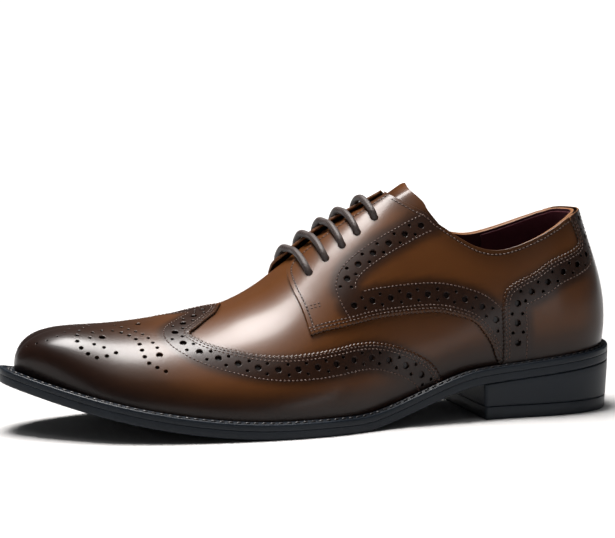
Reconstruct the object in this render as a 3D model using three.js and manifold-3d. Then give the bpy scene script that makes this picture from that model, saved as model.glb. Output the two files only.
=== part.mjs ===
// A man's derby dress shoe with brogue overlays, for the left foot, standing empty on its sole.
// Millimetres, +X to the toe, +Y to the outer (lateral) side, +Z up, floor at z = 0.
// The origin is the middle of the heel's flat face on the floor.
import * as THREE from 'three';
import * as BufferGeometryUtils from 'three/addons/utils/BufferGeometryUtils.js';
import Module from 'manifold-3d';

const wasm = await Module();
wasm.setup();

// Driving sizes of the sole and heel
const SOLE_LENGTH = 303;
const BALL_WIDTH = 100;
const HEEL_WIDTH = 64;
const HEEL_LENGTH = 75;
const HEEL_BACK_HEIGHT = 24.4;
const HEEL_BREAST_HEIGHT = 17.5;
const HEEL_TAPER = 1.2;
const TOP_LIFT = 6.5;
const TOE_SPRING = 24;
const OUTSOLE = 4.2;
const WELT = 2.6;
const WELT_MARGIN = 6.4;
const INSOLE = 4;

// Driving sizes of the upper
const INSTEP_HEIGHT = 107;
const UPPER_WALL = 2;
const OVERLAY = 1.2;
const TONGUE = 2.2;
const TONGUE_RISE = 4;
const FACING_GAP_TOP = 5;
const FACING_GAP_FRONT = 12;
const FACING_CURVE = 8;
const MEDIAL_COLLAR_RISE = 3.5;

// Lace and its eyelets
const LACE = 3.2;
const EYELET = 4;
const LACE_BARS = 5;

// Clearance between pieces that touch on the real shoe
const GAP = 0.3;

// Fineness of the surfaces: steps round the foot, steps up the side, steps and sides of a lace bar
const ROUND_STEPS = 60;
const RISE_STEPS = 10;
const LACE_STEPS = 8;
const LACE_SIDES = 8;

// Length sections, heel to toe. Shares of SOLE_LENGTH: at, top.
// Shares of HEEL_WIDTH for the first four rows and of BALL_WIDTH for the rest: lateral, medial.
// Share of WELT_MARGIN: margin. Shares of BALL_WIDTH: cone, lean, flare, out.
// Shares of INSTEP_HEIGHT: ridge, lift, drop.
const LAST_COLUMNS = ['at', 'lateral', 'medial', 'margin', 'top', 'cone', 'lean', 'ridge',
  'lift', 'flare', 'out', 'drop'];
const HEEL_SECTIONS = [
  [0.000, 0.00, 0.00, 0.76, 0.061, 0.000, 0.000, 1.05, 0.31, 0.062, 0.03, 0.28],
  [0.030, 0.35, -0.345, 0.78, 0.076, 0.100, 0.000, 1.05, 0.29, 0.053, 0.04, 0.28],
  [0.115, 0.50, -0.50, 0.80, 0.135, 0.170, 0.000, 1.06, 0.28, 0.041, 0.06, 0.30],
  [0.215, 0.508, -0.50, 0.84, 0.220, 0.130, -0.015, 1.09, 0.28, 0.040, 0.08, 0.30],
];
const BALL_SECTIONS = [
  [0.310, 0.355, -0.300, 0.86, 0.310, 0.030, -0.045, 1.12, 0.28, 0.050, 0.13, 0.22],
  [0.400, 0.390, -0.300, 0.92, 0.400, 0.000, -0.085, 0.968, 0.28, 0.050, 0.24, 0.030],
  [0.490, 0.475, -0.350, 1.00, 0.490, 0.000, -0.115, 0.793, 0.25, 0.040, 0.28, 0],
  [0.585, 0.510, -0.430, 1.02, 0.580, 0.000, -0.120, 0.600, 0.22, 0.030, 0.29, 0],
  [0.680, 0.495, -0.485, 1.02, 0.665, 0.000, -0.110, 0.506, 0.19, 0.025, 0.29, 0],
  [0.780, 0.440, -0.480, 1.02, 0.745, 0.000, -0.100, 0.468, 0.165, 0.020, 0.27, 0],
  [0.875, 0.320, -0.410, 1.04, 0.810, 0.000, -0.090, 0.455, 0.155, 0.015, 0.22, 0],
  [0.960, 0.110, -0.290, 1.10, 0.850, 0.000, -0.085, 0.452, 0.160, 0.040, 0.28, 0],
  [1.000, -0.080, -0.080, 1.26, 0.860, 0.000, -0.085, 0.452, 0.120, 0.010, 0.25, 0],
];
const CONE_END = HEEL_SECTIONS.length + 1;

// Flat of the forefoot and the climb of the toe, as shares of SOLE_LENGTH
const FLAT_START = 0.47;
const FLAT_END = 0.58;
const SPRING_POWER = 1.85;

// Side outlines: along as a share of SOLE_LENGTH, up as a share of INSTEP_HEIGHT
const TOPLINE = [
  [-0.060, 0.922], [0.052, 0.914], [0.085, 0.891], [0.112, 0.855], [0.150, 0.807],
  [0.190, 0.768], [0.218, 0.757], [0.243, 0.771], [0.262, 0.797], [0.284, 0.838], [0.312, 0.896],
];
const FACING_TOP = [[0.321, 0.924], [0.350, 0.969], [0.378, 1.018]];
const WING_EDGE = [
  [0.719, 0.449], [0.712, 0.421], [0.690, 0.392],
  [0.655, 0.368], [0.618, 0.349], [0.578, 0.343], [0.535, 0.351], [0.494, 0.366], [0.466, 0.379],
  [0.433, 0.380], [0.402, 0.362], [0.376, 0.336], [0.357, 0.311], [0.336, 0.271], [0.322, 0.215],
  [0.315, 0.120],
];
// Plan outline of the wing's centre peak: along as a share of SOLE_LENGTH, across of BALL_WIDTH
const WING_PEAK = [[0.643, 0], [0.660, 0.078], [0.682, 0.136], [0.702, 0.190], [0.719, 0.225]];
const WING_PEAK_LEAN = -0.085;

const QUARTER_FRONT = [[0.541, 0.684], [0.544, 0.607], [0.539, 0.522], [0.535, 0.428]];
const QUARTER_EDGE = [
  [0.506, 0.448], [0.473, 0.463], [0.428, 0.486], [0.385, 0.496], [0.352, 0.500], [0.319, 0.499],
  [0.286, 0.478], [0.259, 0.447], [0.241, 0.392], [0.229, 0.338], [0.221, 0.277], [0.216, 0.240],
];
const COUNTER_EDGE = [
  [0.209, 0.120], [0.210, 0.279], [0.210, 0.359], [0.211, 0.434], [0.211, 0.505], [0.206, 0.566],
  [0.201, 0.586], [0.188, 0.610], [0.154, 0.654], [0.126, 0.702], [0.085, 0.742], [0.071, 0.768],
  [0.075, 0.820], [0.084, 0.880], [0.090, 1.2],
];
const TONGUE_EDGE = [[0.316, 0.885], [0.355, 0.820], [0.430, 0.725], [0.500, 0.61], [0.566, 0.49]];

// Eyelets: section number along the last and share of the rise from feather to ridge on each side
const EYELETS = [
  { section: 6.20, rise: 0.73, medialRise: 0.67 },
  { section: 5.89, rise: 0.74, medialRise: 0.69 },
  { section: 5.58, rise: 0.75, medialRise: 0.71 },
  { section: 5.29, rise: 0.77, medialRise: 0.74 },
  { section: 4.95, rise: 0.80, medialRise: 0.78 },
];
// How far the inner eyelets stand nearer the toe, in sections
const MEDIAL_SHIFT = 0.2;

// Values worked out from the sizes above
const SECTIONS = [...HEEL_SECTIONS, ...BALL_SECTIONS];
const LAST_SECTION = SECTIONS.length - 1;
const TURN = 2 * LAST_SECTION;
const HEEL_CENTRE = HEEL_LENGTH / 2;
const SEAT_SLOPE = (HEEL_BREAST_HEIGHT - HEEL_BACK_HEIGHT) / HEEL_LENGTH;
const FEATHER_RISE = OUTSOLE + GAP + WELT + GAP;
const UPPER_OUTER = -(GAP + OVERLAY) / 2;
const UPPER_INNER = UPPER_OUTER - UPPER_WALL;
const OVERLAY_INNER = UPPER_OUTER + GAP;
const OVERLAY_OUTER = OVERLAY_INNER + OVERLAY;
const THROAT_FRONT = QUARTER_FRONT[0][0] * SOLE_LENGTH;
const THROAT_TOP = TOPLINE[TOPLINE.length - 1][0] * SOLE_LENGTH;
const REACH = 2 * SOLE_LENGTH;
const SIMPLIFY_WITHIN = GAP / 8;
const NORMAL_STEP = 1e-3;
const RISE_LIMIT = 0.97;
const SPLINE_PASSES = 60;
const EYELET_SIDES = 8;
const CORNER_STEPS = 5;

// A smooth closed curve through equally spaced values (a cubic spline with matching curvature).
function periodicSpline(values) {
  const n = values.length;
  const slope = new Array(n).fill(0);
  for (let pass = 0; pass < SPLINE_PASSES; pass += 1) {
    for (let i = 0; i < n; i += 1) {
      const before = (i + n - 1) % n;
      const after = (i + 1) % n;
      slope[i] = (3 * (values[after] - values[before]) - slope[after] - slope[before]) / 4;
    }
  }
  return (u) => {
    const turned = ((u % n) + n) % n;
    const i = Math.floor(turned) % n;
    const j = (i + 1) % n;
    const t = turned - Math.floor(turned);
    const a = (1 + 2 * t) * (1 - t) * (1 - t);
    const b = t * (1 - t) * (1 - t);
    const c = t * t * (3 - 2 * t);
    const d = t * t * (t - 1);
    return values[i] * a + slope[i] * b + values[j] * c + slope[j] * d;
  };
}

function column(name) {
  const index = LAST_COLUMNS.indexOf(name);
  return SECTIONS.map((row) => row[index]);
}

// The two sides of a section share this value.
function bothSides(values) {
  return periodicSpline([...values, ...values.slice(1, -1).reverse()]);
}

function sized(values, sizes) {
  return values.map((value, i) => value * sizes[i]);
}

const WIDTH_OF = SECTIONS.map((row, i) => (i < HEEL_SECTIONS.length ? HEEL_WIDTH : BALL_WIDTH));
const lateralWidths = sized(column('lateral'), WIDTH_OF);
const medialWidths = sized(column('medial'), WIDTH_OF);
const soleAlong = bothSides(column('at').map((share) => share * SOLE_LENGTH));
const soleAcross = periodicSpline([...lateralWidths, ...medialWidths.slice(1, -1).reverse()]);
const margin = bothSides(column('margin').map((share) => share * WELT_MARGIN));
const ridgeAlong = bothSides(column('top').map((share) => share * SOLE_LENGTH));
const coneHalf = bothSides(column('cone').map((share) => share * BALL_WIDTH));
const ridgeLean = bothSides(column('lean').map((share) => share * BALL_WIDTH));
const ridgeHeight = bothSides(column('ridge').map((share) => share * INSTEP_HEIGHT));
const sideLift = bothSides(column('lift').map((share) => share * INSTEP_HEIGHT));
const sideFlare = bothSides(column('flare').map((share) => share * BALL_WIDTH));
const ridgeOut = bothSides(column('out').map((share) => share * BALL_WIDTH));
const ridgeDrop = bothSides(column('drop').map((share) => share * INSTEP_HEIGHT));

// Height of the outsole's underside: heel seat, waist, flat and toe spring.
function soleHeight(x) {
  const flatStart = FLAT_START * SOLE_LENGTH;
  const flatEnd = FLAT_END * SOLE_LENGTH;
  if (x < HEEL_LENGTH) {
    return HEEL_BACK_HEIGHT + SEAT_SLOPE * x;
  }
  if (x < flatStart) {
    const run = flatStart - HEEL_LENGTH;
    const t = (x - HEEL_LENGTH) / run;
    return HEEL_BREAST_HEIGHT * (1 + 2 * t) * (1 - t) * (1 - t) + SEAT_SLOPE * run * t * (1 - t) * (1 - t);
  }
  const climb = Math.max(0, (x - flatEnd) / (SOLE_LENGTH - flatEnd));
  return TOE_SPRING * Math.pow(climb, SPRING_POWER);
}

// A point of the sole's outline, moved inward by inset; u counts the sections round the foot.
function outlinePoint(u, inset) {
  const alongSlope = soleAlong(u + NORMAL_STEP) - soleAlong(u - NORMAL_STEP);
  const acrossSlope = soleAcross(u + NORMAL_STEP) - soleAcross(u - NORMAL_STEP);
  const length = Math.hypot(alongSlope, acrossSlope);
  const outward = new THREE.Vector2(-acrossSlope / length, alongSlope / length);
  const point = new THREE.Vector2(soleAlong(u) - outward.x * inset, soleAcross(u) - outward.y * inset);
  return { point, outward };
}

// The shoe's mean outer surface, halfway through the overlays: u goes round the foot, rise goes
// from the feather line (0) to the ridge (1).
function lastPoint(u, rise) {
  const { point, outward } = outlinePoint(u, margin(u));
  const turned = ((u % TURN) + TURN) % TURN;
  const section = Math.min(turned, TURN - turned);
  const side = turned <= LAST_SECTION ? 1 : -1;
  const half = section > CONE_END ? 0 : Math.max(0, coneHalf(u));
  const ridge = new THREE.Vector3(ridgeAlong(u), ridgeLean(u) + side * half, ridgeHeight(u));
  const feather = new THREE.Vector3(point.x, point.y, soleHeight(point.x) + FEATHER_RISE);
  const towards = new THREE.Vector2(feather.x - ridge.x, feather.y - ridge.y).normalize();
  const low = feather.clone();
  low.x += outward.x * sideFlare(u);
  low.y += outward.y * sideFlare(u);
  low.z += sideLift(u);
  const high = ridge.clone();
  high.x += towards.x * ridgeOut(u);
  high.y += towards.y * ridgeOut(u);
  high.z -= ridgeDrop(u);
  const rest = 1 - rise;
  return feather.multiplyScalar(rest * rest * rest)
    .addScaledVector(low, 3 * rest * rest * rise)
    .addScaledVector(high, 3 * rest * rise * rise)
    .addScaledVector(ridge, rise * rise * rise);
}

function sideNormal(u, rise) {
  const r = Math.min(RISE_LIMIT, Math.max(1 - RISE_LIMIT, rise));
  const round = lastPoint(u + NORMAL_STEP, r).sub(lastPoint(u - NORMAL_STEP, r));
  const up = lastPoint(u, r + NORMAL_STEP).sub(lastPoint(u, r - NORMAL_STEP));
  return up.cross(round).normalize();
}

// That surface moved outward along its normal. On the narrow ridge both sides share one normal.
function offsetPoint(u, rise, offset) {
  const normal = sideNormal(u, rise);
  const turned = ((u % TURN) + TURN) % TURN;
  const section = Math.min(turned, TURN - turned);
  if (rise === 1 && section >= CONE_END - 1) {
    normal.add(sideNormal(TURN - u, rise)).normalize();
  }
  return lastPoint(u, rise).addScaledVector(normal, offset);
}

// A closed solid from a list of triangles given as triples of points.
function solidFromTriangles(triangles) {
  const corners = triangles.flat().flatMap((p) => [p.x, p.y, p.z]);
  const loose = new THREE.BufferGeometry();
  loose.setAttribute('position', new THREE.Float32BufferAttribute(corners, 3));
  return solidFromGeometry(loose);
}

function solidFromGeometry(geometry) {
  geometry.deleteAttribute('normal');
  geometry.deleteAttribute('uv');
  const merged = BufferGeometryUtils.mergeVertices(geometry, 1e-3);
  const index = [];
  const source = merged.getIndex().array;
  for (let i = 0; i < source.length; i += 3) {
    const [a, b, c] = [source[i], source[i + 1], source[i + 2]];
    if (a !== b && b !== c && c !== a) {
      index.push(a, b, c);
    }
  }
  return new wasm.Manifold(new wasm.Mesh({
    numProp: 3,
    vertProperties: new Float32Array(merged.getAttribute('position').array),
    triVerts: new Uint32Array(index),
  }));
}

function geometryFromSolid(solid) {
  const mesh = solid.simplify(SIMPLIFY_WITHIN).getMesh();
  const geometry = new THREE.BufferGeometry();
  geometry.setAttribute('position', new THREE.Float32BufferAttribute(mesh.vertProperties, 3));
  geometry.setIndex(new THREE.Uint32BufferAttribute(mesh.triVerts, 1));
  geometry.computeVertexNormals();
  return geometry;
}

function pushQuad(triangles, a, b, c, d) {
  triangles.push([a, b, c], [a, c, d]);
}

// Closes the hollow between the two sides of a ring of points, section by section.
function pushCap(triangles, ring, upward) {
  const count = ring.length;
  for (let i = 0; i < count / 2; i += 1) {
    const lateral = ring[i];
    const nextLateral = ring[i + 1];
    const medial = ring[(count - i) % count];
    const nextMedial = ring[count - i - 1];
    if (upward) {
      pushQuad(triangles, lateral, medial, nextMedial, nextLateral);
    } else {
      pushQuad(triangles, lateral, nextLateral, nextMedial, medial);
    }
  }
}

// A wall of quads between two rings, the second one further up or further in.
function pushWall(triangles, low, high) {
  low.forEach((point, i) => {
    const next = (i + 1) % low.length;
    pushQuad(triangles, point, high[i], high[next], low[next]);
  });
}

// The whole form as one solid, moved outward by offset, with its bottom lowered by below.
function lastSolid(offset, below) {
  const rings = [];
  for (let j = 0; j <= RISE_STEPS; j += 1) {
    const ring = [];
    for (let i = 0; i < ROUND_STEPS; i += 1) {
      ring.push(offsetPoint((i * TURN) / ROUND_STEPS, j / RISE_STEPS, offset));
    }
    rings.push(ring);
  }
  if (below > 0) {
    rings.unshift(rings[0].map((p) => new THREE.Vector3(p.x, p.y, p.z - below)));
  }
  const triangles = [];
  for (let j = 0; j + 1 < rings.length; j += 1) {
    pushWall(triangles, rings[j], rings[j + 1]);
  }
  pushCap(triangles, rings[0], false);
  pushCap(triangles, rings[rings.length - 1], true);
  return solidFromTriangles(triangles);
}

// A skin of even thickness that follows the last, open underneath and level with the feather line.
function lastSkin(inner, outer) {
  const hollow = lastSolid(inner, 2 * FEATHER_RISE);
  return lastSolid(outer, FEATHER_RISE).subtract(hollow).subtract(belowFeather);
}

// A plate that follows the sole: outline ring at an inset, between two heights over the underside.
// The inset is a length or a function of the place round the foot.
function soleRing(inset, rise) {
  const insetAt = typeof inset === 'function' ? inset : () => inset;
  const ring = [];
  for (let i = 0; i < ROUND_STEPS; i += 1) {
    const u = (i * TURN) / ROUND_STEPS;
    const { point } = outlinePoint(u, insetAt(u));
    ring.push(new THREE.Vector3(point.x, point.y, soleHeight(point.x) + rise));
  }
  return ring;
}

function solePlate(inset, bottom, top) {
  const low = soleRing(inset, bottom);
  const high = soleRing(inset, top);
  const triangles = [];
  pushWall(triangles, low, high);
  pushCap(triangles, low, false);
  pushCap(triangles, high, true);
  return solidFromTriangles(triangles);
}

function sharePoints(rows) {
  return rows.map(([along, up]) => new THREE.Vector2(along * SOLE_LENGTH, up * INSTEP_HEIGHT));
}

function smooth(rows, steps) {
  return new THREE.SplineCurve(sharePoints(rows)).getPoints(steps);
}

// A side outline, extruded across the shoe between two widths.
function sidePrism(points, from, to) {
  const geometry = new THREE.ExtrudeGeometry(new THREE.Shape(points), { depth: to - from, bevelEnabled: false });
  geometry.rotateX(Math.PI / 2);
  geometry.translate(0, to, 0);
  return solidFromGeometry(geometry);
}

// Everything above the topline and the facings' top edge, lower on the outer side.
function collarCutter() {
  const sides = [
    { from: 0, to: REACH, rise: 0 },
    { from: -REACH, to: 0, rise: MEDIAL_COLLAR_RISE },
  ];
  const cutters = sides.map(({ from, to, rise }) => {
    const lowest = Math.min(...TOPLINE.map((row) => row[1])) * INSTEP_HEIGHT;
    const highest = TOPLINE[TOPLINE.length - 1][1] * INSTEP_HEIGHT;
    const edge = smooth(TOPLINE, 4 * TOPLINE.length).map((p) => {
      const depth = Math.max(0, (highest - p.y) / (highest - lowest));
      const front = p.x > 0 ? Math.min(1, p.x / (TOPLINE[3][0] * SOLE_LENGTH)) : 0;
      return new THREE.Vector2(p.x, p.y + rise * depth * front);
    });
    const outline = [...edge, ...sharePoints(FACING_TOP)];
    outline.push(new THREE.Vector2(REACH, outline[outline.length - 1].y));
    outline.push(new THREE.Vector2(REACH, REACH), new THREE.Vector2(edge[0].x, REACH));
    return sidePrism(outline, from, to);
  });
  return wasm.Manifold.union(cutters);
}

// Across the shoe, the middle of the throat at its top and at its front.
const LEAN_TOP = ridgeLean(CONE_END - 1);
const LEAN_FRONT = ridgeLean(CONE_END + 1);

// A plan outline, extruded up from a height that clears the lower parts.
function planPrism(shape, bottom) {
  const geometry = new THREE.ExtrudeGeometry(shape, {
    depth: REACH,
    bevelEnabled: false,
    curveSegments: CORNER_STEPS,
  });
  geometry.translate(0, 0, bottom);
  return solidFromGeometry(geometry);
}

// The slot between the facings, wider to the front, with rounded front corners.
function throatSlot() {
  const start = THROAT_TOP - FACING_CURVE;
  const bend = THROAT_FRONT - FACING_CURVE;
  const end = THROAT_FRONT + FACING_CURVE;
  const lateral = LEAN_FRONT + FACING_GAP_FRONT / 2;
  const medial = LEAN_FRONT - FACING_GAP_FRONT / 2;
  const shape = new THREE.Shape();
  shape.moveTo(start, LEAN_TOP + FACING_GAP_TOP / 2);
  shape.lineTo(bend, lateral);
  shape.quadraticCurveTo(THROAT_FRONT, lateral, end, lateral + FACING_CURVE);
  shape.lineTo(end, medial - FACING_CURVE);
  shape.quadraticCurveTo(THROAT_FRONT, medial, bend, medial);
  shape.lineTo(start, LEAN_TOP - FACING_GAP_TOP / 2);
  return planPrism(shape, INSTEP_HEIGHT / 2);
}

// The vamp's own cut-out under the tongue, a plain slot that ends short of the facings' front.
function vampSlot() {
  const start = THROAT_TOP - FACING_CURVE;
  const end = THROAT_FRONT - 2 * FACING_CURVE;
  const half = (FACING_GAP_FRONT + FACING_GAP_TOP) / 4;
  const shape = new THREE.Shape();
  shape.moveTo(start, LEAN_TOP + FACING_GAP_TOP / 2);
  shape.lineTo(end, LEAN_FRONT + half);
  shape.absarc(end, LEAN_FRONT, half, Math.PI / 2, -Math.PI / 2, true);
  shape.lineTo(start, LEAN_TOP - FACING_GAP_TOP / 2);
  return planPrism(shape, INSTEP_HEIGHT / 2);
}

// The two ends of a lace bar: the place round the foot and the rise of each eyelet.
function eyeletPlaces({ section, rise, medialRise }) {
  return [
    { u: section, rise },
    { u: TURN - section - MEDIAL_SHIFT, rise: medialRise },
  ];
}

// A round cutter through the wall at each eyelet, on both sides.
function eyeletCutters() {
  const cutters = [];
  for (const eyelet of EYELETS) {
    for (const { u, rise } of eyeletPlaces(eyelet)) {
      const normal = sideNormal(u, rise);
      const length = 4 * (UPPER_WALL + OVERLAY);
      const geometry = new THREE.CylinderGeometry(EYELET / 2, EYELET / 2, length, EYELET_SIDES);
      geometry.applyQuaternion(new THREE.Quaternion().setFromUnitVectors(new THREE.Vector3(0, 1, 0), normal));
      const centre = lastPoint(u, rise).addScaledVector(normal, length / 2 - 2 * UPPER_WALL);
      geometry.translate(centre.x, centre.y, centre.z);
      cutters.push(solidFromGeometry(geometry));
    }
  }
  return wasm.Manifold.union(cutters);
}

const belowFeather = solePlate(-WELT_MARGIN, -3 * FEATHER_RISE, FEATHER_RISE);
const collar = collarCutter();
const eyelets = eyeletCutters();
const overlaySkin = lastSkin(OVERLAY_INNER, OVERLAY_OUTER);

function upperSolid() {
  return lastSkin(UPPER_INNER, UPPER_OUTER).subtract(collar).subtract(vampSlot()).subtract(eyelets);
}

// The wings follow a side outline; the peak over the toes follows a plan outline.
function wingPeakPrism() {
  const lean = WING_PEAK_LEAN * BALL_WIDTH;
  const half = WING_PEAK.map(([along, across]) => [along * SOLE_LENGTH, across * BALL_WIDTH]);
  const outline = [
    ...half.map(([x, y]) => new THREE.Vector2(x, lean - y)),
    new THREE.Vector2(REACH, lean - half[half.length - 1][1]),
    new THREE.Vector2(REACH, lean + half[half.length - 1][1]),
    ...half.slice(1).reverse().map(([x, y]) => new THREE.Vector2(x, lean + y)),
  ];
  return planPrism(new THREE.Shape(outline), WING_EDGE[1][1] * INSTEP_HEIGHT);
}

function wingCapSolid() {
  const edge = smooth(WING_EDGE, 2 * WING_EDGE.length);
  const outline = [
    ...edge,
    new THREE.Vector2(edge[edge.length - 1].x, -TOP_LIFT),
    new THREE.Vector2(REACH, -TOP_LIFT),
    new THREE.Vector2(REACH, REACH),
    new THREE.Vector2(edge[0].x, REACH),
  ];
  return overlaySkin.intersect(sidePrism(outline, -REACH, REACH).add(wingPeakPrism()));
}

function counterOutline(shift) {
  const edge = smooth(COUNTER_EDGE, 2 * COUNTER_EDGE.length).map((p) => new THREE.Vector2(p.x + shift, p.y));
  return [
    ...edge,
    new THREE.Vector2(-REACH, edge[edge.length - 1].y),
    new THREE.Vector2(-REACH, -TOP_LIFT),
    new THREE.Vector2(edge[0].x, -TOP_LIFT),
  ];
}

function counterSolid() {
  return overlaySkin.intersect(sidePrism(counterOutline(0), -REACH, REACH)).subtract(collar);
}

// One quarter with its facing: lateral for side 1, medial for side -1.
function quarterSolid(side) {
  const front = smooth(QUARTER_FRONT, 2 * QUARTER_FRONT.length);
  const edge = smooth(QUARTER_EDGE, 2 * QUARTER_EDGE.length);
  const last = edge[edge.length - 1];
  const outline = [
    new THREE.Vector2(front[0].x, REACH),
    ...front,
    ...edge,
    new THREE.Vector2(-REACH, last.y),
    new THREE.Vector2(-REACH, REACH),
  ];
  const ownSide = planPrism(new THREE.Shape([
    new THREE.Vector2(-REACH, LEAN_TOP),
    new THREE.Vector2(THROAT_TOP, LEAN_TOP),
    new THREE.Vector2(THROAT_FRONT, LEAN_FRONT),
    new THREE.Vector2(REACH, LEAN_FRONT),
    new THREE.Vector2(REACH, side * REACH),
    new THREE.Vector2(-REACH, side * REACH),
  ]), 0);
  const counterRoom = sidePrism(counterOutline(GAP), -REACH, REACH);
  return overlaySkin.intersect(sidePrism(outline, -REACH, REACH))
    .intersect(ownSide)
    .subtract(counterRoom)
    .subtract(collar)
    .subtract(throatSlot())
    .subtract(eyelets);
}

// The tongue hangs inside the upper and rises a little above the facings.
function tongueSolid() {
  const top = sharePoints(FACING_TOP);
  const edge = smooth(TONGUE_EDGE, 2 * TONGUE_EDGE.length);
  const outline = [
    ...edge,
    new THREE.Vector2(edge[edge.length - 1].x, REACH),
    new THREE.Vector2(top[2].x + 2 * TONGUE_RISE, REACH),
    new THREE.Vector2(top[2].x, top[2].y + TONGUE_RISE),
    new THREE.Vector2(top[1].x, top[1].y + TONGUE_RISE),
  ];
  const outer = UPPER_INNER - GAP;
  return lastSkin(outer - TONGUE, outer).intersect(sidePrism(outline, -REACH, REACH));
}

// Heel block and top lift follow the sole's outline back from the breast, tapered to the floor.
function heelSlice(bottom, top) {
  const breast = sidePrism([
    new THREE.Vector2(-REACH, -REACH),
    new THREE.Vector2(HEEL_LENGTH, -REACH),
    new THREE.Vector2(HEEL_LENGTH, REACH),
    new THREE.Vector2(-REACH, REACH),
  ], -REACH, REACH);
  const taperAt = (z) => HEEL_TAPER * (1 - z / HEEL_BACK_HEIGHT);
  const triangles = [];
  const low = soleRing(taperAt(0), 0).map((p) => new THREE.Vector3(p.x, p.y, bottom(p.x)));
  const high = soleRing(taperAt(HEEL_BACK_HEIGHT), 0).map((p) => new THREE.Vector3(p.x, p.y, top(p.x)));
  pushWall(triangles, low, high);
  pushCap(triangles, low, false);
  pushCap(triangles, high, true);
  return solidFromTriangles(triangles).intersect(breast);
}

function floorSlab(bottom, top) {
  return sidePrism([
    new THREE.Vector2(-REACH, bottom),
    new THREE.Vector2(REACH, bottom),
    new THREE.Vector2(REACH, top),
    new THREE.Vector2(-REACH, top),
  ], -REACH, REACH);
}

const heelWhole = heelSlice(() => 0, (x) => HEEL_BACK_HEIGHT + SEAT_SLOPE * x - GAP);

// One bar of the lace across the facings, from eyelet to eyelet, just clear of the overlays.
function laceBar(eyelet) {
  const offset = OVERLAY_OUTER + GAP + LACE / 2;
  const [lateral, medial] = eyeletPlaces(eyelet);
  const crown = eyelet.section + MEDIAL_SHIFT / 2;
  const mix = (a, b, share) => a + (b - a) * share;
  const climb = (end, top, share) => offsetPoint(mix(end.u, top, share), mix(end.rise, 1, share), offset);
  const shares = [0, 1 / 3, 2 / 3];
  const points = [
    ...shares.map((share) => climb(lateral, crown, share)),
    offsetPoint(crown, 1, offset),
    ...shares.reverse().map((share) => climb(medial, TURN - crown, share)),
  ];
  const corners = [];
  for (let k = 0; k < LACE_SIDES; k += 1) {
    const angle = (k * 2 * Math.PI) / LACE_SIDES;
    corners.push(new THREE.Vector2(Math.cos(angle), Math.sin(angle)).multiplyScalar(LACE / 2));
  }
  return new THREE.ExtrudeGeometry(new THREE.Shape(corners), {
    extrudePath: new THREE.CatmullRomCurve3(points),
    steps: LACE_STEPS,
    bevelEnabled: false,
  });
}

const LEATHER_BROWN = { color: 0x6b3f1c, roughness: 0.3, metalness: 0 };
const LEATHER_TAN = { color: 0x8a5a2e, roughness: 0.6, metalness: 0 };
const RUBBER_BLACK = { color: 0x1b1f23, roughness: 0.45, metalness: 0 };
const BOARD_TAN = { color: 0xb08a5c, roughness: 0.8, metalness: 0 };
const WAXED_CORD = { color: 0x3e2f2a, roughness: 0.55, metalness: 0 };

const shoe = new THREE.Group();

function addPiece(name, geometry, look) {
  const mesh = new THREE.Mesh(geometry, new THREE.MeshStandardMaterial(look));
  mesh.name = name;
  shoe.add(mesh);
}

const weltTop = FEATHER_RISE - GAP;
const insoleInset = (u) => margin(u) - UPPER_INNER + 2 * GAP;
const insolePlate = solePlate(insoleInset, OUTSOLE + GAP, OUTSOLE + GAP + INSOLE);
const weltRing = solePlate(0, OUTSOLE + GAP, weltTop)
  .subtract(solePlate((u) => insoleInset(u) - GAP, OUTSOLE, weltTop + WELT));

addPiece('outsole', geometryFromSolid(solePlate(0, 0, OUTSOLE)), RUBBER_BLACK);
addPiece('welt', geometryFromSolid(weltRing), RUBBER_BLACK);
addPiece('top_lift', geometryFromSolid(heelWhole.intersect(floorSlab(-1, TOP_LIFT))), RUBBER_BLACK);
addPiece('heel_block', geometryFromSolid(heelWhole.intersect(floorSlab(TOP_LIFT + GAP, REACH))), RUBBER_BLACK);
addPiece('insole', geometryFromSolid(insolePlate), BOARD_TAN);
addPiece('upper', geometryFromSolid(upperSolid()), LEATHER_BROWN);
addPiece('wing_cap', geometryFromSolid(wingCapSolid()), LEATHER_BROWN);
addPiece('quarter_lateral', geometryFromSolid(quarterSolid(1)), LEATHER_BROWN);
addPiece('quarter_medial', geometryFromSolid(quarterSolid(-1)), LEATHER_BROWN);
addPiece('counter', geometryFromSolid(counterSolid()), LEATHER_BROWN);
addPiece('tongue', geometryFromSolid(tongueSolid()), LEATHER_TAN);
EYELETS.slice(0, LACE_BARS).forEach((eyelet, i) => {
  addPiece(`lace_bar_${i + 1}`, laceBar(eyelet), WAXED_CORD);
});

shoe.position.set(-HEEL_CENTRE, 0, 0);

export default shoe;
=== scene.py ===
import math

import bpy
import numpy as np
from bpy.props import FloatProperty, FloatVectorProperty, PointerProperty
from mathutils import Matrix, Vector
from mathutils.geometry import delaunay_2d_cdt
from mathutils.kdtree import KDTree


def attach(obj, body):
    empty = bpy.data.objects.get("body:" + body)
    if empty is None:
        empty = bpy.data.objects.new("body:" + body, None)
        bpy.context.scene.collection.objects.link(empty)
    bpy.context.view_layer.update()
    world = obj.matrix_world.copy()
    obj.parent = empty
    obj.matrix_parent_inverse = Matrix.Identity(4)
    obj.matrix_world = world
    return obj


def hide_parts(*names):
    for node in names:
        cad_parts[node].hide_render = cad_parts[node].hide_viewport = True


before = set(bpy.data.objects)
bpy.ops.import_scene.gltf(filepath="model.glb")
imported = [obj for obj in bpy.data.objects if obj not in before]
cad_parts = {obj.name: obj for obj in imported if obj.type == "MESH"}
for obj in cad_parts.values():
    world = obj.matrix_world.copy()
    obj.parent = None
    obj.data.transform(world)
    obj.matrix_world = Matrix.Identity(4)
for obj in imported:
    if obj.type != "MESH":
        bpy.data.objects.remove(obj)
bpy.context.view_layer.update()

bl_info = {
    "name": "Brogue derby shoe",
    "version": (1, 0, 0),
    "blender": (4, 5, 0),
    "location": "View3D > Sidebar > Shoe",
    "description": "Dresses a wing-tip derby shoe in leather, thread, lace and rubber",
    "category": "Object",
}

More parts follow.
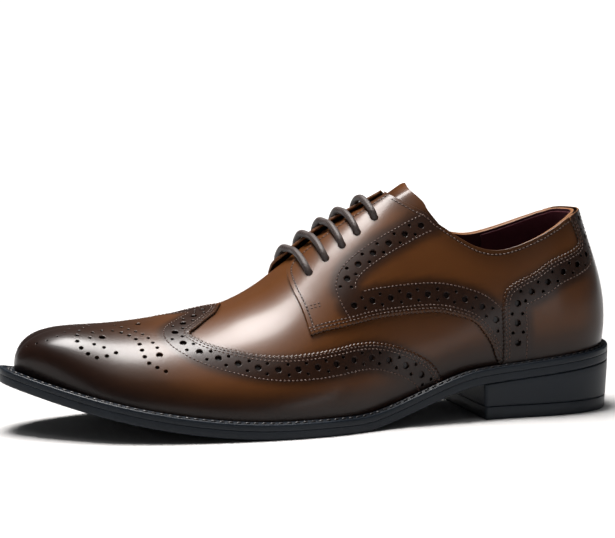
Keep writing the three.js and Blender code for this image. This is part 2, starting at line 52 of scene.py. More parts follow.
# Sizes in millimetres. x runs from the sole's rearmost point to the toe, y to the outer side.
SOLE_LENGTH = 303.0
BALL_WIDTH = 100.0
HEEL_WIDTH = 64.0
HEEL_LENGTH = 75.0
HEEL_CENTRE = HEEL_LENGTH / 2
HEEL_BACK_HEIGHT = 24.4
HEEL_BREAST_HEIGHT = 17.5
HEEL_TAPER = 1.2
TOP_LIFT = 6.5
TOE_SPRING = 24.0
OUTSOLE = 4.2
WELT = 2.6
WELT_MARGIN = 6.4
INSOLE = 4.0
INSTEP_HEIGHT = 107.0
GAP = 0.3
FEATHER_RISE = OUTSOLE + GAP + WELT + GAP
UPPER_OUTER = -0.75
UPPER_INNER = -2.75
OVERLAY_INNER = -0.72
OVERLAY_OUTER = 0.75
COUNTER_OUTER = 1.55
TONGUE = 2.2
TONGUE_RISE = 4.0
FACING_GAP_TOP = 5.0
FACING_GAP_FRONT = 12.0
FACING_CURVE = 8.0
MEDIAL_COLLAR_RISE = 3.5
FLAP_MEDIAL, FLAP_LATERAL = 2.1, 0.8
FACING_BEND_STEPS = 9
QUARTER_TUCK = 4.0

# How far the inner eyelets stand nearer the toe, and a bar's middle, in sections.
MEDIAL_SHIFT = 0.08
CROWN_SHIFT = 0.05

# Length sections, heel to toe, as in the solids: shares of the sizes above.
COLUMNS = ("at", "lateral", "medial", "margin", "top", "cone", "lean", "ridge",
           "lift", "flare", "out", "drop")
SECTIONS = np.array([
    [0.000, 0.00, 0.00, 0.76, 0.061, 0.000, 0.000, 1.05, 0.31, 0.062, 0.03, 0.28],
    [0.030, 0.35, -0.345, 0.78, 0.076, 0.100, 0.000, 1.05, 0.29, 0.053, 0.04, 0.28],
    [0.115, 0.50, -0.50, 0.80, 0.135, 0.170, 0.000, 1.06, 0.28, 0.041, 0.06, 0.30],
    [0.215, 0.508, -0.50, 0.84, 0.220, 0.130, -0.015, 1.09, 0.28, 0.040, 0.08, 0.30],
    [0.310, 0.355, -0.300, 0.86, 0.310, 0.030, -0.045, 1.12, 0.28, 0.050, 0.13, 0.22],
    [0.400, 0.390, -0.300, 0.92, 0.400, 0.000, -0.085, 0.968, 0.28, 0.050, 0.24, 0.030],
    [0.490, 0.475, -0.350, 1.00, 0.490, 0.000, -0.115, 0.793, 0.25, 0.040, 0.28, 0],
    [0.585, 0.510, -0.430, 1.02, 0.580, 0.000, -0.120, 0.600, 0.22, 0.030, 0.29, 0],
    [0.680, 0.495, -0.485, 1.02, 0.665, 0.000, -0.110, 0.506, 0.19, 0.025, 0.29, 0],
    [0.780, 0.440, -0.480, 1.02, 0.745, 0.000, -0.100, 0.468, 0.165, 0.020, 0.27, 0],
    [0.875, 0.320, -0.410, 1.04, 0.810, 0.000, -0.090, 0.455, 0.155, 0.015, 0.22, 0],
    [0.960, 0.110, -0.290, 1.10, 0.850, 0.000, -0.085, 0.452, 0.160, 0.040, 0.28, 0],
    [1.000, -0.080, -0.080, 1.26, 0.860, 0.000, -0.085, 0.452, 0.120, 0.010, 0.25, 0],
])
HEEL_ROWS = 4
CONE_END = 5
LAST = len(SECTIONS) - 1
TURN = 2 * LAST
FLAT_START = 0.47
FLAT_END = 0.58
SPRING_POWER = 1.85

# Side outlines: along as a share of SOLE_LENGTH, up as a share of INSTEP_HEIGHT.
TOPLINE = [(-0.060, 0.922), (0.052, 0.914), (0.085, 0.891), (0.112, 0.855), (0.150, 0.807),
           (0.190, 0.768), (0.218, 0.757), (0.243, 0.771), (0.262, 0.797), (0.284, 0.838),
           (0.312, 0.896)]
FACING_TOP = [(0.321, 0.924), (0.350, 0.969), (0.378, 1.018)]
WING_EDGE = [(0.712, 0.421), (0.690, 0.392), (0.655, 0.368), (0.618, 0.349), (0.578, 0.343),
             (0.535, 0.351), (0.494, 0.366), (0.466, 0.379), (0.433, 0.380), (0.402, 0.362),
             (0.376, 0.336), (0.357, 0.311), (0.336, 0.271), (0.322, 0.215), (0.315, 0.120)]
WING_PEAK = [(0.643, 0.0), (0.660, 0.078), (0.682, 0.136), (0.702, 0.190), (0.716, 0.218)]
WING_PEAK_LEAN = -0.085
QUARTER_FRONT = [(0.541, 0.684), (0.544, 0.607), (0.539, 0.522), (0.535, 0.428)]
QUARTER_EDGE = [(0.535, 0.428), (0.506, 0.448), (0.473, 0.463), (0.428, 0.486), (0.385, 0.496),
                (0.352, 0.500), (0.319, 0.499), (0.286, 0.478), (0.259, 0.447), (0.241, 0.392),
                (0.229, 0.338), (0.221, 0.277), (0.216, 0.240), (0.213, 0.120)]
COUNTER_EDGE = [(0.209, 0.120), (0.210, 0.279), (0.210, 0.359), (0.211, 0.434), (0.211, 0.505),
                (0.206, 0.566), (0.201, 0.586), (0.188, 0.610), (0.154, 0.654), (0.126, 0.702),
                (0.085, 0.742), (0.071, 0.768), (0.075, 0.820), (0.084, 0.880)]

# Eyelets: section, rise on the outer side, rise on the inner side.
EYELETS = [(6.25, 0.745, 0.70), (5.94, 0.755, 0.72), (5.63, 0.765, 0.74), (5.34, 0.785, 0.765),
           (5.00, 0.815, 0.80)]

# The eyestay's seam on the quarter, as section and rise.
EYESTAY = [(4.14, 0.745), (4.64, 0.712), (5.20, 0.692), (5.56, 0.675), (5.79, 0.645),
           (5.89, 0.590), (5.87, 0.530), (5.81, 0.480), (5.73, 0.425)]

# Lines of the toe's punched ornament, mirrored over the middle: section and distance from it
# as a share of the rise, then how many holes and their size class.
MEDALLION = [
    ([(10.87, 0.06), (10.66, 0.28), (10.45, 0.485), (10.15, 0.595), (9.82, 0.51)], 10, "middle"),
    ([(10.00, 0.215), (10.25, 0.21), (10.40, 0.26), (10.34, 0.37), (10.20, 0.45), (10.05, 0.465)],
     6, "small"),
    ([(10.02, 0.09), (9.66, 0.195), (9.30, 0.295), (9.08, 0.435)], 8, "small"),
    ([(9.79, 0.25), (9.47, 0.34), (9.33, 0.49), (9.24, 0.58), (8.96, 0.645)], 9, "middle"),
    ([(11.25, 0.10), (10.93, 0.30), (11.07, 0.50), (11.43, 0.62)], 7, "pin"),
    ([(9.05, 0.505)], 1, "big"),
    ([(10.15, 0.325)], 1, "big"),
    ([(9.45, 0.10)], 1, "big"),
]

# Distances in from a panel's edge, in millimetres: its stitched rows, then the middle of its
# punched band and the line of stitches that ends the band.
WING_ROWS = (1.3, 2.9)
WING_BAND = (7.0, 12.4)
QUARTER_ROWS = (1.5, 3.1)
QUARTER_BAND = (8.2, 13.6)
COUNTER_ROWS = (1.3, 2.9)
COUNTER_BAND = (7.2, 11.8)
EYESTAY_BAND = (4.4, 8.8)
FACING_ROW = 2.3
TOPLINE_ROW = 2.2
BAND_PITCH = 9.5
PAIR_SPREAD = 2.6
GIMP_PITCH = 2.1
GIMP_DEPTH = 0.55
GROOVE_DEPTH = 0.34
GROOVE_HALF = 0.6
HOLE_BEVEL = 0.32
EDGE_BEVEL = 0.42
MESH_SPACING = 2.0

# The upper's own openings, the tongue and the heel grip.
SLOT_SECTION = 5.98
SKIN_EYELET = 2.0
FACING_EYELET = 1.75
TONGUE_HALF = 0.33
TONGUE_FRONT = 6.9
TONGUE_CROWN = 4.0
TONGUE_CROWN_HALF = 0.30
TONGUE_ROUNDING = 0.08
TONGUE_SWELL = 2.0
GRIP_END = 2.72
GRIP_LOW = 0.22

# Holes of the toe's ornament, by size class, and threads: millimetres.
ORNAMENT_RADII = {"big": 1.45, "middle": 0.9, "small": 0.75, "pin": 0.5}
HOLE_SIDES = 18
STITCH_LENGTH = 1.5
STITCH_RADIUS = 0.33
STITCH_SINK = 0.12
WELT_STITCH_PITCH = 4.0
WELT_STITCH_LENGTH = 3.1
WELT_STITCH_RADIUS = 0.5
WELT_STITCH_LEAN = 0.18
TACK_RISE = 0.57
TACK_REACH = (1.5, 9.0)
TACK_GAP = 1.3

# Small steps and the pattern's scale: millimetres per section and per whole rise.
STEP = 1e-3
EDGE = 0.03
DOMAIN_SCALE = np.array([26.0, 85.0])

# Kinds of place on a sheet: its cut edge tan or waxed, and the bottom of a stitched groove, which
# gets dark wax and painted shade.
TAN, WAXED, GROOVE = 2, 3, 4


def unit(vectors):
    """Vectors of length one."""
    return vectors / (np.linalg.norm(vectors, axis=-1, keepdims=True) + 1e-12)


def ease(low, high, value):
    """0 up to low, 1 from high on, and smooth between."""
    t = np.clip((np.asarray(value, float) - low) / (high - low), 0, 1)
    return t * t * (3 - 2 * t)


def column(name):
    return SECTIONS[:, COLUMNS.index(name)]


def both(values, medial=None):
    """One value per section round the foot: the outer side, then the inner side back."""
    other = values if medial is None else medial
    return np.concatenate([values, other[1:-1][::-1]])


WIDTHS = np.where(np.arange(len(SECTIONS)) < HEEL_ROWS, HEEL_WIDTH, BALL_WIDTH)
NODES = np.stack([
    both(column("at") * SOLE_LENGTH), both(column("lateral") * WIDTHS, column("medial") * WIDTHS),
    both(column("margin") * WELT_MARGIN), both(column("top") * SOLE_LENGTH),
    both(column("cone") * BALL_WIDTH), both(column("lean") * BALL_WIDTH),
    both(column("ridge") * INSTEP_HEIGHT), both(column("lift") * INSTEP_HEIGHT),
    both(column("flare") * BALL_WIDTH), both(column("out") * BALL_WIDTH),
    both(column("drop") * INSTEP_HEIGHT)], -1)


def smooth_slopes(nodes):
    """Slopes that make a closed curve through equally spaced nodes smooth."""
    n = len(nodes)
    i = np.arange(n)
    system = np.zeros((n, n))
    system[i, i] = 4
    system[i, (i + 1) % n] += 1
    system[i, (i - 1) % n] += 1
    return np.linalg.solve(system, 3 * (np.roll(nodes, -1, 0) - np.roll(nodes, 1, 0)))


SLOPES = smooth_slopes(NODES)


def columns(u):
    """All of the form's columns at a place round the foot, and the sole edge's direction."""
    u = np.mod(np.asarray(u, float), TURN)
    k = np.floor(u).astype(int) % TURN
    j = (k + 1) % TURN
    t = (u - np.floor(u))[..., None]
    q = 1 - t
    values = (NODES[k] * ((1 + 2 * t) * q * q) + SLOPES[k] * (t * q * q)
              + NODES[j] * (t * t * (3 - 2 * t)) + SLOPES[j] * (t * t * (t - 1)))
    edge = ((NODES[j, :2] - NODES[k, :2]) * (6 * t * q) + SLOPES[k, :2] * (q * (1 - 3 * t))
            + SLOPES[j, :2] * (t * (3 * t - 2)))
    return np.moveaxis(values, -1, 0), unit(edge)


SEAT_SLOPE = (HEEL_BREAST_HEIGHT - HEEL_BACK_HEIGHT) / HEEL_LENGTH
LEAN_TOP = NODES[CONE_END - 1, 5]
LEAN_FRONT = NODES[CONE_END + 1, 5]
THROAT_TOP = TOPLINE[-1][0] * SOLE_LENGTH
THROAT_FRONT = QUARTER_FRONT[0][0] * SOLE_LENGTH


def sole_height(x):
    """Height of the outsole's underside."""
    x = np.asarray(x, float)
    start, end = FLAT_START * SOLE_LENGTH, FLAT_END * SOLE_LENGTH
    run = start - HEEL_LENGTH
    t = np.clip((x - HEEL_LENGTH) / run, 0, 1)
    waist = HEEL_BREAST_HEIGHT * (1 + 2 * t) * (1 - t) ** 2 + SEAT_SLOPE * run * t * (1 - t) ** 2
    climb = np.maximum(0, (x - end) / (SOLE_LENGTH - end))
    toe = TOE_SPRING * climb ** SPRING_POWER
    seat = HEEL_BACK_HEIGHT + SEAT_SLOPE * x
    return np.where(x < HEEL_LENGTH, seat, np.where(x < start, waist, toe))


def outline(u, inset, share=0.0):
    """The sole's outline moved inward by an inset and a share of the welt's margin."""
    values, edge = columns(u)
    outward = np.stack([-edge[..., 1], edge[..., 0]], -1)
    base = np.stack([values[0], values[1]], -1)
    return base - outward * (inset + share * values[2])[..., None], outward


def form(u, rise):
    """The shoe's mean surface, round the foot and up from the feather line to the ridge."""
    u, rise = np.broadcast_arrays(np.asarray(u, float), np.asarray(rise, float))
    values, edge = columns(u)
    along, across, margin, ridge_along, cone, lean, ridge, lift, flare, out, drop = values
    outward = np.stack([-edge[..., 1], edge[..., 0]], -1)
    foot = np.stack([along, across], -1) - outward * margin[..., None]
    turned = np.mod(u, TURN)
    section = np.minimum(turned, TURN - turned)
    side = np.where(turned <= LAST, 1.0, -1.0)
    half = np.where(section > CONE_END, 0, np.maximum(0, cone))
    top = np.stack([ridge_along, lean + side * half, ridge], -1)
    feather = np.concatenate([foot, (sole_height(foot[..., 0]) + FEATHER_RISE)[..., None]], -1)
    towards = unit(foot - top[..., :2])
    low = feather + np.concatenate([outward * flare[..., None], lift[..., None]], -1)
    high = top + np.concatenate([towards * out[..., None], -drop[..., None]], -1)
    r = rise[..., None]
    q = 1 - r
    return q ** 3 * feather + 3 * q * q * r * low + 3 * q * r * r * high + r ** 3 * top


def side_normal(u, rise):
    r = np.clip(rise, EDGE, 1 - EDGE)
    across = form(u + STEP, r) - form(u - STEP, r)
    up = form(u, r + STEP) - form(u, r - STEP)
    return unit(np.cross(up, across))


def normal(u, rise):
    """The outward direction, shared by both sides where they meet on the ridge."""
    u, rise = np.broadcast_arrays(np.asarray(u, float), np.asarray(rise, float))
    turned = np.mod(u, TURN)
    section = np.minimum(turned, TURN - turned)
    near = ease(0.86, 1.0, rise) * ease(CONE_END - 1.5, CONE_END - 1, section)
    own = side_normal(u, rise)
    shared = unit(side_normal(u, np.ones_like(u)) + side_normal(TURN - u, np.ones_like(u)))
    return unit(own * (1 - near[..., None]) + shared * near[..., None])


def surface(u, rise, offset=0.0):
    u, rise, offset = np.broadcast_arrays(np.asarray(u, float), np.asarray(rise, float),
                                          np.asarray(offset, float))
    return form(u, rise) + normal(u, rise) * offset[..., None]


def section_of(u):
    """Section number from the heel, on either side."""
    u = np.mod(u, TURN)
    return np.minimum(u, TURN - u)


def flap(u, rise):
    """How far a facing stands off the last beside the throat."""
    height = np.where(np.mod(u, TURN) > LAST, FLAP_MEDIAL, FLAP_LATERAL)
    return height * ease(0.58, 0.90, rise) * ease(4.4, 6.0, section_of(u))


def around(c):
    """Flat pattern of one side: section number round the foot, and rise."""
    return c[..., 0], c[..., 1]


def over(c):
    """Flat pattern that crosses the ridge: section, and distance from the ridge, outer side up."""
    u = np.where(c[..., 1] >= 0, c[..., 0], TURN - c[..., 0])
    return u, 1 - np.abs(c[..., 1])


def at(place, c, offset=0.0):
    return surface(*place(c), offset)


def to_over(places):
    """Places round the foot as places on the pattern that crosses the ridge."""
    u = np.mod(places[:, 0], TURN)
    lateral = u <= LAST
    return np.stack([np.where(lateral, u, TURN - u),
                     np.where(lateral, 1, -1) * (1 - places[:, 1])], -1)


def mirrored(places):
    return places * np.array([1, -1])


def find(targets, axes, medial=False):
    """Places round the foot on one side whose two coordinates are the targets'."""
    low, high = (LAST, TURN) if medial else (0, LAST)
    gu, gr = np.meshgrid(np.linspace(low, high, 97), np.linspace(0, 1, 41), indexing="ij")
    gu, gr = gu.ravel(), gr.ravel()
    grid = form(gu, gr)[:, axes]
    wanted = np.asarray(targets, float)
    nearest = ((wanted[:, None] - grid[None]) ** 2).sum(-1).argmin(1)
    u, r = gu[nearest], gr[nearest]
    for _ in range(16):
        away = wanted - form(u, r)[:, axes]
        du = (form(u + STEP, r) - form(u - STEP, r))[:, axes] / (2 * STEP)
        dr = (form(u, r + STEP) - form(u, r - STEP))[:, axes] / (2 * STEP)
        det = du[:, 0] * dr[:, 1] - du[:, 1] * dr[:, 0]
        det = np.where(np.abs(det) < 1e-6, 1e-6, det)
        su = (away[:, 0] * dr[:, 1] - away[:, 1] * dr[:, 0]) / det
        sr = (du[:, 0] * away[:, 1] - du[:, 1] * away[:, 0]) / det
        u = np.clip(u + np.clip(su, -0.2, 0.2), low, high)
        r = np.clip(r + np.clip(sr, -0.06, 0.06), 0, 1)
    return np.stack([u, r], -1)


def smooth(points, steps=8):
    """A smooth line through a few points."""
    p = np.asarray(points, float)
    ends = np.concatenate([[2 * p[0] - p[1]], p, [2 * p[-1] - p[-2]]])
    t = np.linspace(0, 1, steps, endpoint=False)[:, None]
    parts = []
    for a, b, c, d in zip(ends, ends[1:], ends[2:], ends[3:]):
        parts.append(0.5 * ((2 * b) + (c - a) * t + (2 * a - 5 * b + 4 * c - d) * t * t
                            + (3 * b - a - 3 * c + d) * t ** 3))
    return np.concatenate(parts + [p[-1:]])


def side_line(rows, medial=False, steps=8):
    """A side outline laid on one side of the form."""
    line = smooth(rows, steps) * [SOLE_LENGTH, INSTEP_HEIGHT]
    return find(line, [0, 2], medial)


def steps_of(place, c, vectors):
    """The pattern steps that move places along the given vectors on the surface."""
    da = (at(place, c + [STEP, 0]) - at(place, c - [STEP, 0])) / (2 * STEP)
    db = (at(place, c + [0, STEP]) - at(place, c - [0, STEP])) / (2 * STEP)
    a, b, d = (da * da).sum(-1), (da * db).sum(-1), (db * db).sum(-1)
    e, f = (vectors * da).sum(-1), (vectors * db).sum(-1)
    det = a * d - b * b
    return np.stack([(e * d - f * b) / det, (a * f - b * e) / det], -1)


def spaced(c, pitch, place=around, start=0.0):
    """Places at an even pitch in millimetres along a line of the pattern."""
    p = at(place, c)
    run = np.concatenate([[0], np.cumsum(np.linalg.norm(np.diff(p, axis=0), axis=1))])
    stops = np.arange(start, run[-1], pitch)
    return np.stack([np.interp(stops, run, c[:, 0]), np.interp(stops, run, c[:, 1])], -1)


def sideways(c, distance, place=around):
    """The line moved across itself on the surface, to its left seen from outside."""
    moved = np.array(c, float)
    count = max(1, int(abs(distance) / 1.5))
    for _ in range(count):
        p = at(place, moved)
        along = unit(np.gradient(p, axis=0))
        left = unit(np.cross(normal(*place(moved)), along))
        moved = moved + steps_of(place, moved, left * (distance / count))
    return moved


def parallel(c, distance, place=around):
    """A line's clean parallel on the surface, without the loops that corners make."""
    moved = sideways(c, distance, place)
    moved = moved[np.isfinite(moved).all(1)]
    here, there = at(place, np.asarray(c)), at(place, moved)
    away = np.linalg.norm(there[:, None] - here[None], axis=2).min(1)
    moved = spaced(moved[away > abs(distance) * 0.94 - 0.05], 1.0, place)
    padded = np.concatenate([moved[:1]] * 3 + [moved] + [moved[-1:]] * 3)
    rounded = np.stack([np.convolve(padded[:, k], np.full(7, 1 / 7), "valid") for k in (0, 1)], -1)
    rounded[[0, -1]] = moved[[0, -1]]
    return rounded


TOP_EDGE = smooth(TOPLINE + FACING_TOP, 6) * [SOLE_LENGTH, INSTEP_HEIGHT]


def rolled(x):
    """Height of the topline and the facings' top over x."""
    return np.interp(x, TOP_EDGE[:, 0], TOP_EDGE[:, 1])


def top_rise(u, below=0.0):
    """The rise at which a section meets the topline."""
    u = np.asarray(u, float)
    medial = np.mod(u, TURN) > LAST
    low, high = np.full(u.shape, 0.2), np.ones(u.shape)
    lowest = min(row[1] for row in TOPLINE) * INSTEP_HEIGHT
    highest = TOPLINE[-1][1] * INSTEP_HEIGHT
    for _ in range(30):
        mid = (low + high) / 2
        p = form(u, mid)
        depth = np.maximum(0, (highest - rolled(p[..., 0])) / (highest - lowest))
        front = np.clip(p[..., 0] / (TOPLINE[3][0] * SOLE_LENGTH), 0, 1)
        extra = np.where(medial, MEDIAL_COLLAR_RISE * depth * front, 0)
        above = p[..., 2] > rolled(p[..., 0]) + extra - below
        high = np.where(above, mid, high)
        low = np.where(above, low, mid)
    return (low + high) / 2


def turned_side(places):
    """The same places on the other side of the foot."""
    return np.stack([TURN - places[:, 0], places[:, 1]], -1)


def inside(points, polygon):
    """Which points lie inside a polygon of the pattern."""
    before = np.roll(polygon, 1, axis=0)
    level = before[:, 1] == polygon[:, 1]
    (x1, y1), (x2, y2) = before[~level].T, polygon[~level].T
    found = []
    for part in np.array_split(points, len(points) // 2000 + 1):
        x, y = part[:, :1], part[:, 1:]
        crosses = ((y1 > y) != (y2 > y)) & (x < (x2 - x1) * (y - y1) / (y2 - y1) + x1)
        found.append(crosses.sum(1) % 2 == 1)
    return np.concatenate(found)


def discs(place, centres, radii, count):
    """Rings of places round the centres, at radii in millimetres on the surface."""
    c = np.repeat(np.asarray(centres, float)[:, None], count, axis=1)
    n = normal(*place(c))
    first = unit(np.cross(n, [0.0, 0.0, 1.0]))
    second = np.cross(n, first)
    angle = np.linspace(0, 2 * math.pi, count, endpoint=False)[:, None]
    away = (first * np.cos(angle) + second * np.sin(angle)) * np.asarray(radii)[:, None, None]
    return c + steps_of(place, c, away)


def gimped(c, place, outward, depth=GIMP_DEPTH):
    """A line cut with small even teeth on its outward side."""
    fine = spaced(c, GIMP_PITCH / 6, place)
    p = at(place, fine)
    along = unit(np.gradient(p, axis=0))
    left = unit(np.cross(normal(*place(fine)), along))
    run = np.arange(len(fine)) / 6
    tooth = np.abs(np.sin(math.pi * run)) * depth
    return fine + steps_of(place, fine, left * (outward * tooth)[:, None])


def to_frame(points):
    """Millimetres from the sole's rearmost point to metres in the part's own frame."""
    return (points - [HEEL_CENTRE, 0, 0]) * 0.001


def new_object(name, points, faces, materials, face_material=None, normals=None, values=None):
    """A mesh object from points in millimetres, which rides on the part's one body."""
    mesh = bpy.data.meshes.new(name)
    mesh.from_pydata(to_frame(np.asarray(points)).tolist(), [], [tuple(map(int, f)) for f in faces])
    for material in materials:
        mesh.materials.append(material)
    mesh.shade_smooth()
    if face_material is not None:
        mesh.polygons.foreach_set("material_index", np.asarray(face_material, np.int32))
    for key, value in (values or {}).items():
        layer = mesh.attributes.new(key, "FLOAT", "POINT")
        layer.data.foreach_set("value", np.asarray(value, np.float32))
    mesh.validate()
    if normals is not None and len(normals) == len(mesh.vertices):
        mesh.normals_split_custom_set_from_vertices(normals.tolist())
    made = bpy.data.objects.new(name, mesh)
    bpy.context.scene.collection.objects.link(made)
    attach(made, "root")
    return made


def leather_sheet(name, place, border, outer, inner, materials, holes=(), grooves=(),
                  glued=None, teeth_clear=0.0, spacing=MESH_SPACING, wave=None, shaded_through_holes=False):
    """A sheet of leather cut to a border on the pattern, with real punched holes and grooves.

    border is a list of (places, cut): cut parts get a rounded edge, "waxed" ones with teeth.
    outer and inner are the faces' distances from the form. glued gives a key to each place
    where the two ends of the pattern meet, so that they become one surface. wave lifts the
    sheet off the form. A sheet shaded through holes gets painted shade where it shows through
    holes above it."""
    points, offsets, plain, finish, edges = [], [], [], [], []

    def put(rows, offset, flat, kind=WAXED):
        start = len(points)
        points.extend(map(tuple, rows))
        offsets.extend([offset] * len(rows))
        plain.extend([flat] * len(rows))
        finish.extend([kind] * len(rows))
        return start

    ring = []
    for places, cut in border:
        start = put(places, outer - (EDGE_BEVEL if cut else 0), not cut,
                    WAXED if cut == "waxed" else TAN)
        ring.extend(range(start, start + len(places)))
    edges += list(zip(ring, ring[1:] + ring[:1]))
    polygon = np.array([points[i] for i in ring])
    twice_area = np.sum(polygon[:, 0] * np.roll(polygon[:, 1], -1)
                        - polygon[:, 1] * np.roll(polygon[:, 0], -1))
    hole_of = {}
    if len(holes):
        middles = np.array([h[0] for h in holes])
        radii = np.array([h[1] for h in holes])
        clear = inside(discs(place, middles, radii + 0.5, 8).reshape(-1, 2), polygon)
        clear = clear.reshape(-1, 8).all(1)
        holes = [h for h, keep in zip(holes, clear) if keep]
        middles, radii = middles[clear], radii[clear]
        count = HOLE_SIDES
        bevels = np.minimum(HOLE_BEVEL, 0.3 * radii)
        rims = discs(place, middles, radii, count)
        shoulders = discs(place, middles, radii + bevels, count)
        for number in range(len(holes)):
            start = put(rims[number], outer - bevels[number], False)
            hole_of.update(dict.fromkeys(range(start, start + count), number))
            edges += [(start + i, start + (i + 1) % count) for i in range(count)]
            put(shoulders[number], outer, True)
    centres = KDTree(max(1, len(holes)))
    if len(holes):
        for i, spot in enumerate(at(place, middles)):
            centres.insert(Vector(spot), i)
    centres.balance()

    def free(rows, clear):
        rows = rows[inside(rows, polygon)]
        if len(holes) and len(rows):
            spots = at(place, rows)
            keep = []
            for spot in spots:
                _, index, distance = centres.find(Vector(spot))
                keep.append(distance > holes[index][1] + HOLE_BEVEL + clear)
            rows = rows[np.array(keep)]
        return rows

    for line in grooves:
        fine = spaced(line, 0.9, place)
        put(free(fine, 0.25), outer - GROOVE_DEPTH, False, GROOVE)
        for side in (-GROOVE_HALF, GROOVE_HALF):
            put(free(sideways(fine, side, place), 0.25), outer, True)
    for places, cut in border:
        if cut:
            sign = 1 if twice_area > 0 else -1
            toothed = cut == "waxed"
            width = EDGE_BEVEL + (teeth_clear if toothed else 0)
            inner_line = sideways(np.asarray(places), sign * place_hand(place) * width, place)
            put(free(inner_line[::2 if toothed else 1], 0.2), outer, True)
    taken = KDTree(len(points))
    for i, p in enumerate(points):
        taken.insert(Vector((p[0] * DOMAIN_SCALE[0], p[1] * DOMAIN_SCALE[1], 0)), i)
    taken.balance()
    low, high = polygon.min(0), polygon.max(0)
    ga = np.arange(low[0], high[0], spacing / DOMAIN_SCALE[0])
    gb = np.arange(low[1], high[1], spacing / DOMAIN_SCALE[1])
    grid = np.stack(np.meshgrid(ga, gb, indexing="ij"), -1).reshape(-1, 2)
    grid = free(grid, 0.4)
    near = [taken.find(Vector((*(g * DOMAIN_SCALE), 0)))[2] for g in grid]
    grid = grid[np.array(near) > spacing * 0.62]
    put(grid, outer, True)
    flat = [Vector((p[0] * DOMAIN_SCALE[0], p[1] * DOMAIN_SCALE[1])) for p in points]
    verts, _, tris, sources, _, _ = delaunay_2d_cdt(flat, edges, [], 0, 1e-5)
    where = np.array([tuple(v) for v in verts]) / DOMAIN_SCALE
    source = [s[0] if s else -1 for s in sources]
    offset = np.array([offsets[s] if s >= 0 else outer for s in source])
    flat_here = np.array([plain[s] if s >= 0 else True for s in source])
    finish_here = np.array([finish[s] if s >= 0 else WAXED for s in source])
    tris = np.array([t for t in tris if len(t) == 3])
    middle = where[tris].mean(1)
    keep = inside(middle, polygon)
    first, second, third = np.array([hole_of.get(s, -1) for s in source])[tris].T
    in_hole = (first >= 0) & (first == second) & (second == third)
    tris = tris[keep & ~in_hole]
    u, rise = place(where)
    lift = 0.0 if wave is None else wave(u, rise)
    top = surface(u, rise, offset + lift)
    bottom = surface(u, rise, inner + lift)
    merge = np.arange(len(where))
    if glued is not None:
        known = {}
        for i, key in enumerate(glued(where)):
            if key is not None:
                merge[i] = known.setdefault(key, i)
    tris = merge[tris]
    first, second, third = tris.T
    tris = tris[(first != second) & (second != third) & (first != third)]
    a, b, c = (top[tris[:, k]] for k in range(3))
    facing = (np.cross(b - a, c - a) * normal(u, rise)[tris[:, 0]]).sum(-1)
    tris = np.where((facing < 0)[:, None], tris[:, ::-1], tris)
    used = np.unique(tris)
    index = np.full(len(where), -1)
    index[used] = np.arange(len(used))
    tris = index[tris]
    top, bottom = top[used], bottom[used]
    u, rise, flat_here, finish_here = u[used], rise[used], flat_here[used], finish_here[used]
    directed = {(t[i], t[(i + 1) % 3]) for t in tris.tolist() for i in range(3)}
    rims = [(i, j) for i, j in directed if (j, i) not in directed]
    count = len(top)
    rims.sort()
    walls = [(j, i, i + count, j + count) for i, j in rims]
    faces = tris.tolist() + (tris[:, ::-1] + count).tolist() + walls
    kinds = [0] * len(tris) + [1] * len(tris) + [min(finish_here[i], WAXED) for i, _ in rims]
    normals = np.concatenate([normal(u, rise) * flat_here[:, None], np.zeros((count, 3))])
    # Groove bottoms get dark wax and painted shade; skins seen through holes get painted shade.
    shade = np.maximum(burnish_and_painted_shade(top, u, shaded_through_holes), 0.9 * (finish_here == GROOVE))
    return new_object(name, np.concatenate([top, bottom]), faces, materials, kinds, normals,
                      {"burnish_and_painted_shade": np.concatenate([shade, shade])})


def place_hand(place):
    """+1 where the pattern seen from outside turns as it does on paper, -1 where it is mirrored."""
    c = np.array([[5.0, 0.5]])
    a = at(place, c + [STEP, 0]) - at(place, c)
    b = at(place, c + [0, STEP]) - at(place, c)
    return 1 if (np.cross(a, b) * normal(*place(c))).sum() > 0 else -1


# Lines on the form that panels, seams and bands follow, per side.
def throat_line(half_top, half_front, medial):
    """A line along the throat in plan, from a facing's top to the bend at its front."""
    sign = -1 if medial else 1
    start = np.array([THROAT_TOP - FACING_CURVE, LEAN_TOP + sign * half_top])
    end = np.array([THROAT_FRONT - FACING_CURVE, LEAN_FRONT + sign * half_front])
    t = np.linspace(0, 1, 60)[:, None]
    return start + (end - start) * t


def facing_edge(medial=False):
    """The facing's whole free edge: from the top corner down the throat and round to its point."""
    sign = -1 if medial else 1
    straight = throat_line(FACING_GAP_TOP / 2, FACING_GAP_FRONT / 2, medial)
    lane = LEAN_FRONT + sign * FACING_GAP_FRONT / 2
    bend = []
    for t in np.linspace(0, 1, FACING_BEND_STEPS)[1:]:
        a = ((1 - t) ** 2 * (THROAT_FRONT - FACING_CURVE) + 2 * t * (1 - t) * (THROAT_FRONT - 1)
             + t * t * (THROAT_FRONT + 0.3))
        b = lane + sign * FACING_CURVE * t * t * 0.9
        bend.append((a, b))
    plan = np.concatenate([straight, bend])
    up = find(plan, [0, 1], medial)
    keep = up[:, 1] > 0.5
    up = up[keep]
    limit = top_rise(up[:, 0])
    up = up[up[:, 1] <= limit]
    front = side_line(QUARTER_FRONT, medial)
    last = at(around, up[-1:])[0, 2]
    front = front[at(around, front)[:, 2] < last - 2.0]
    joined = np.concatenate([up, front])
    return spaced(joined, 1.0)


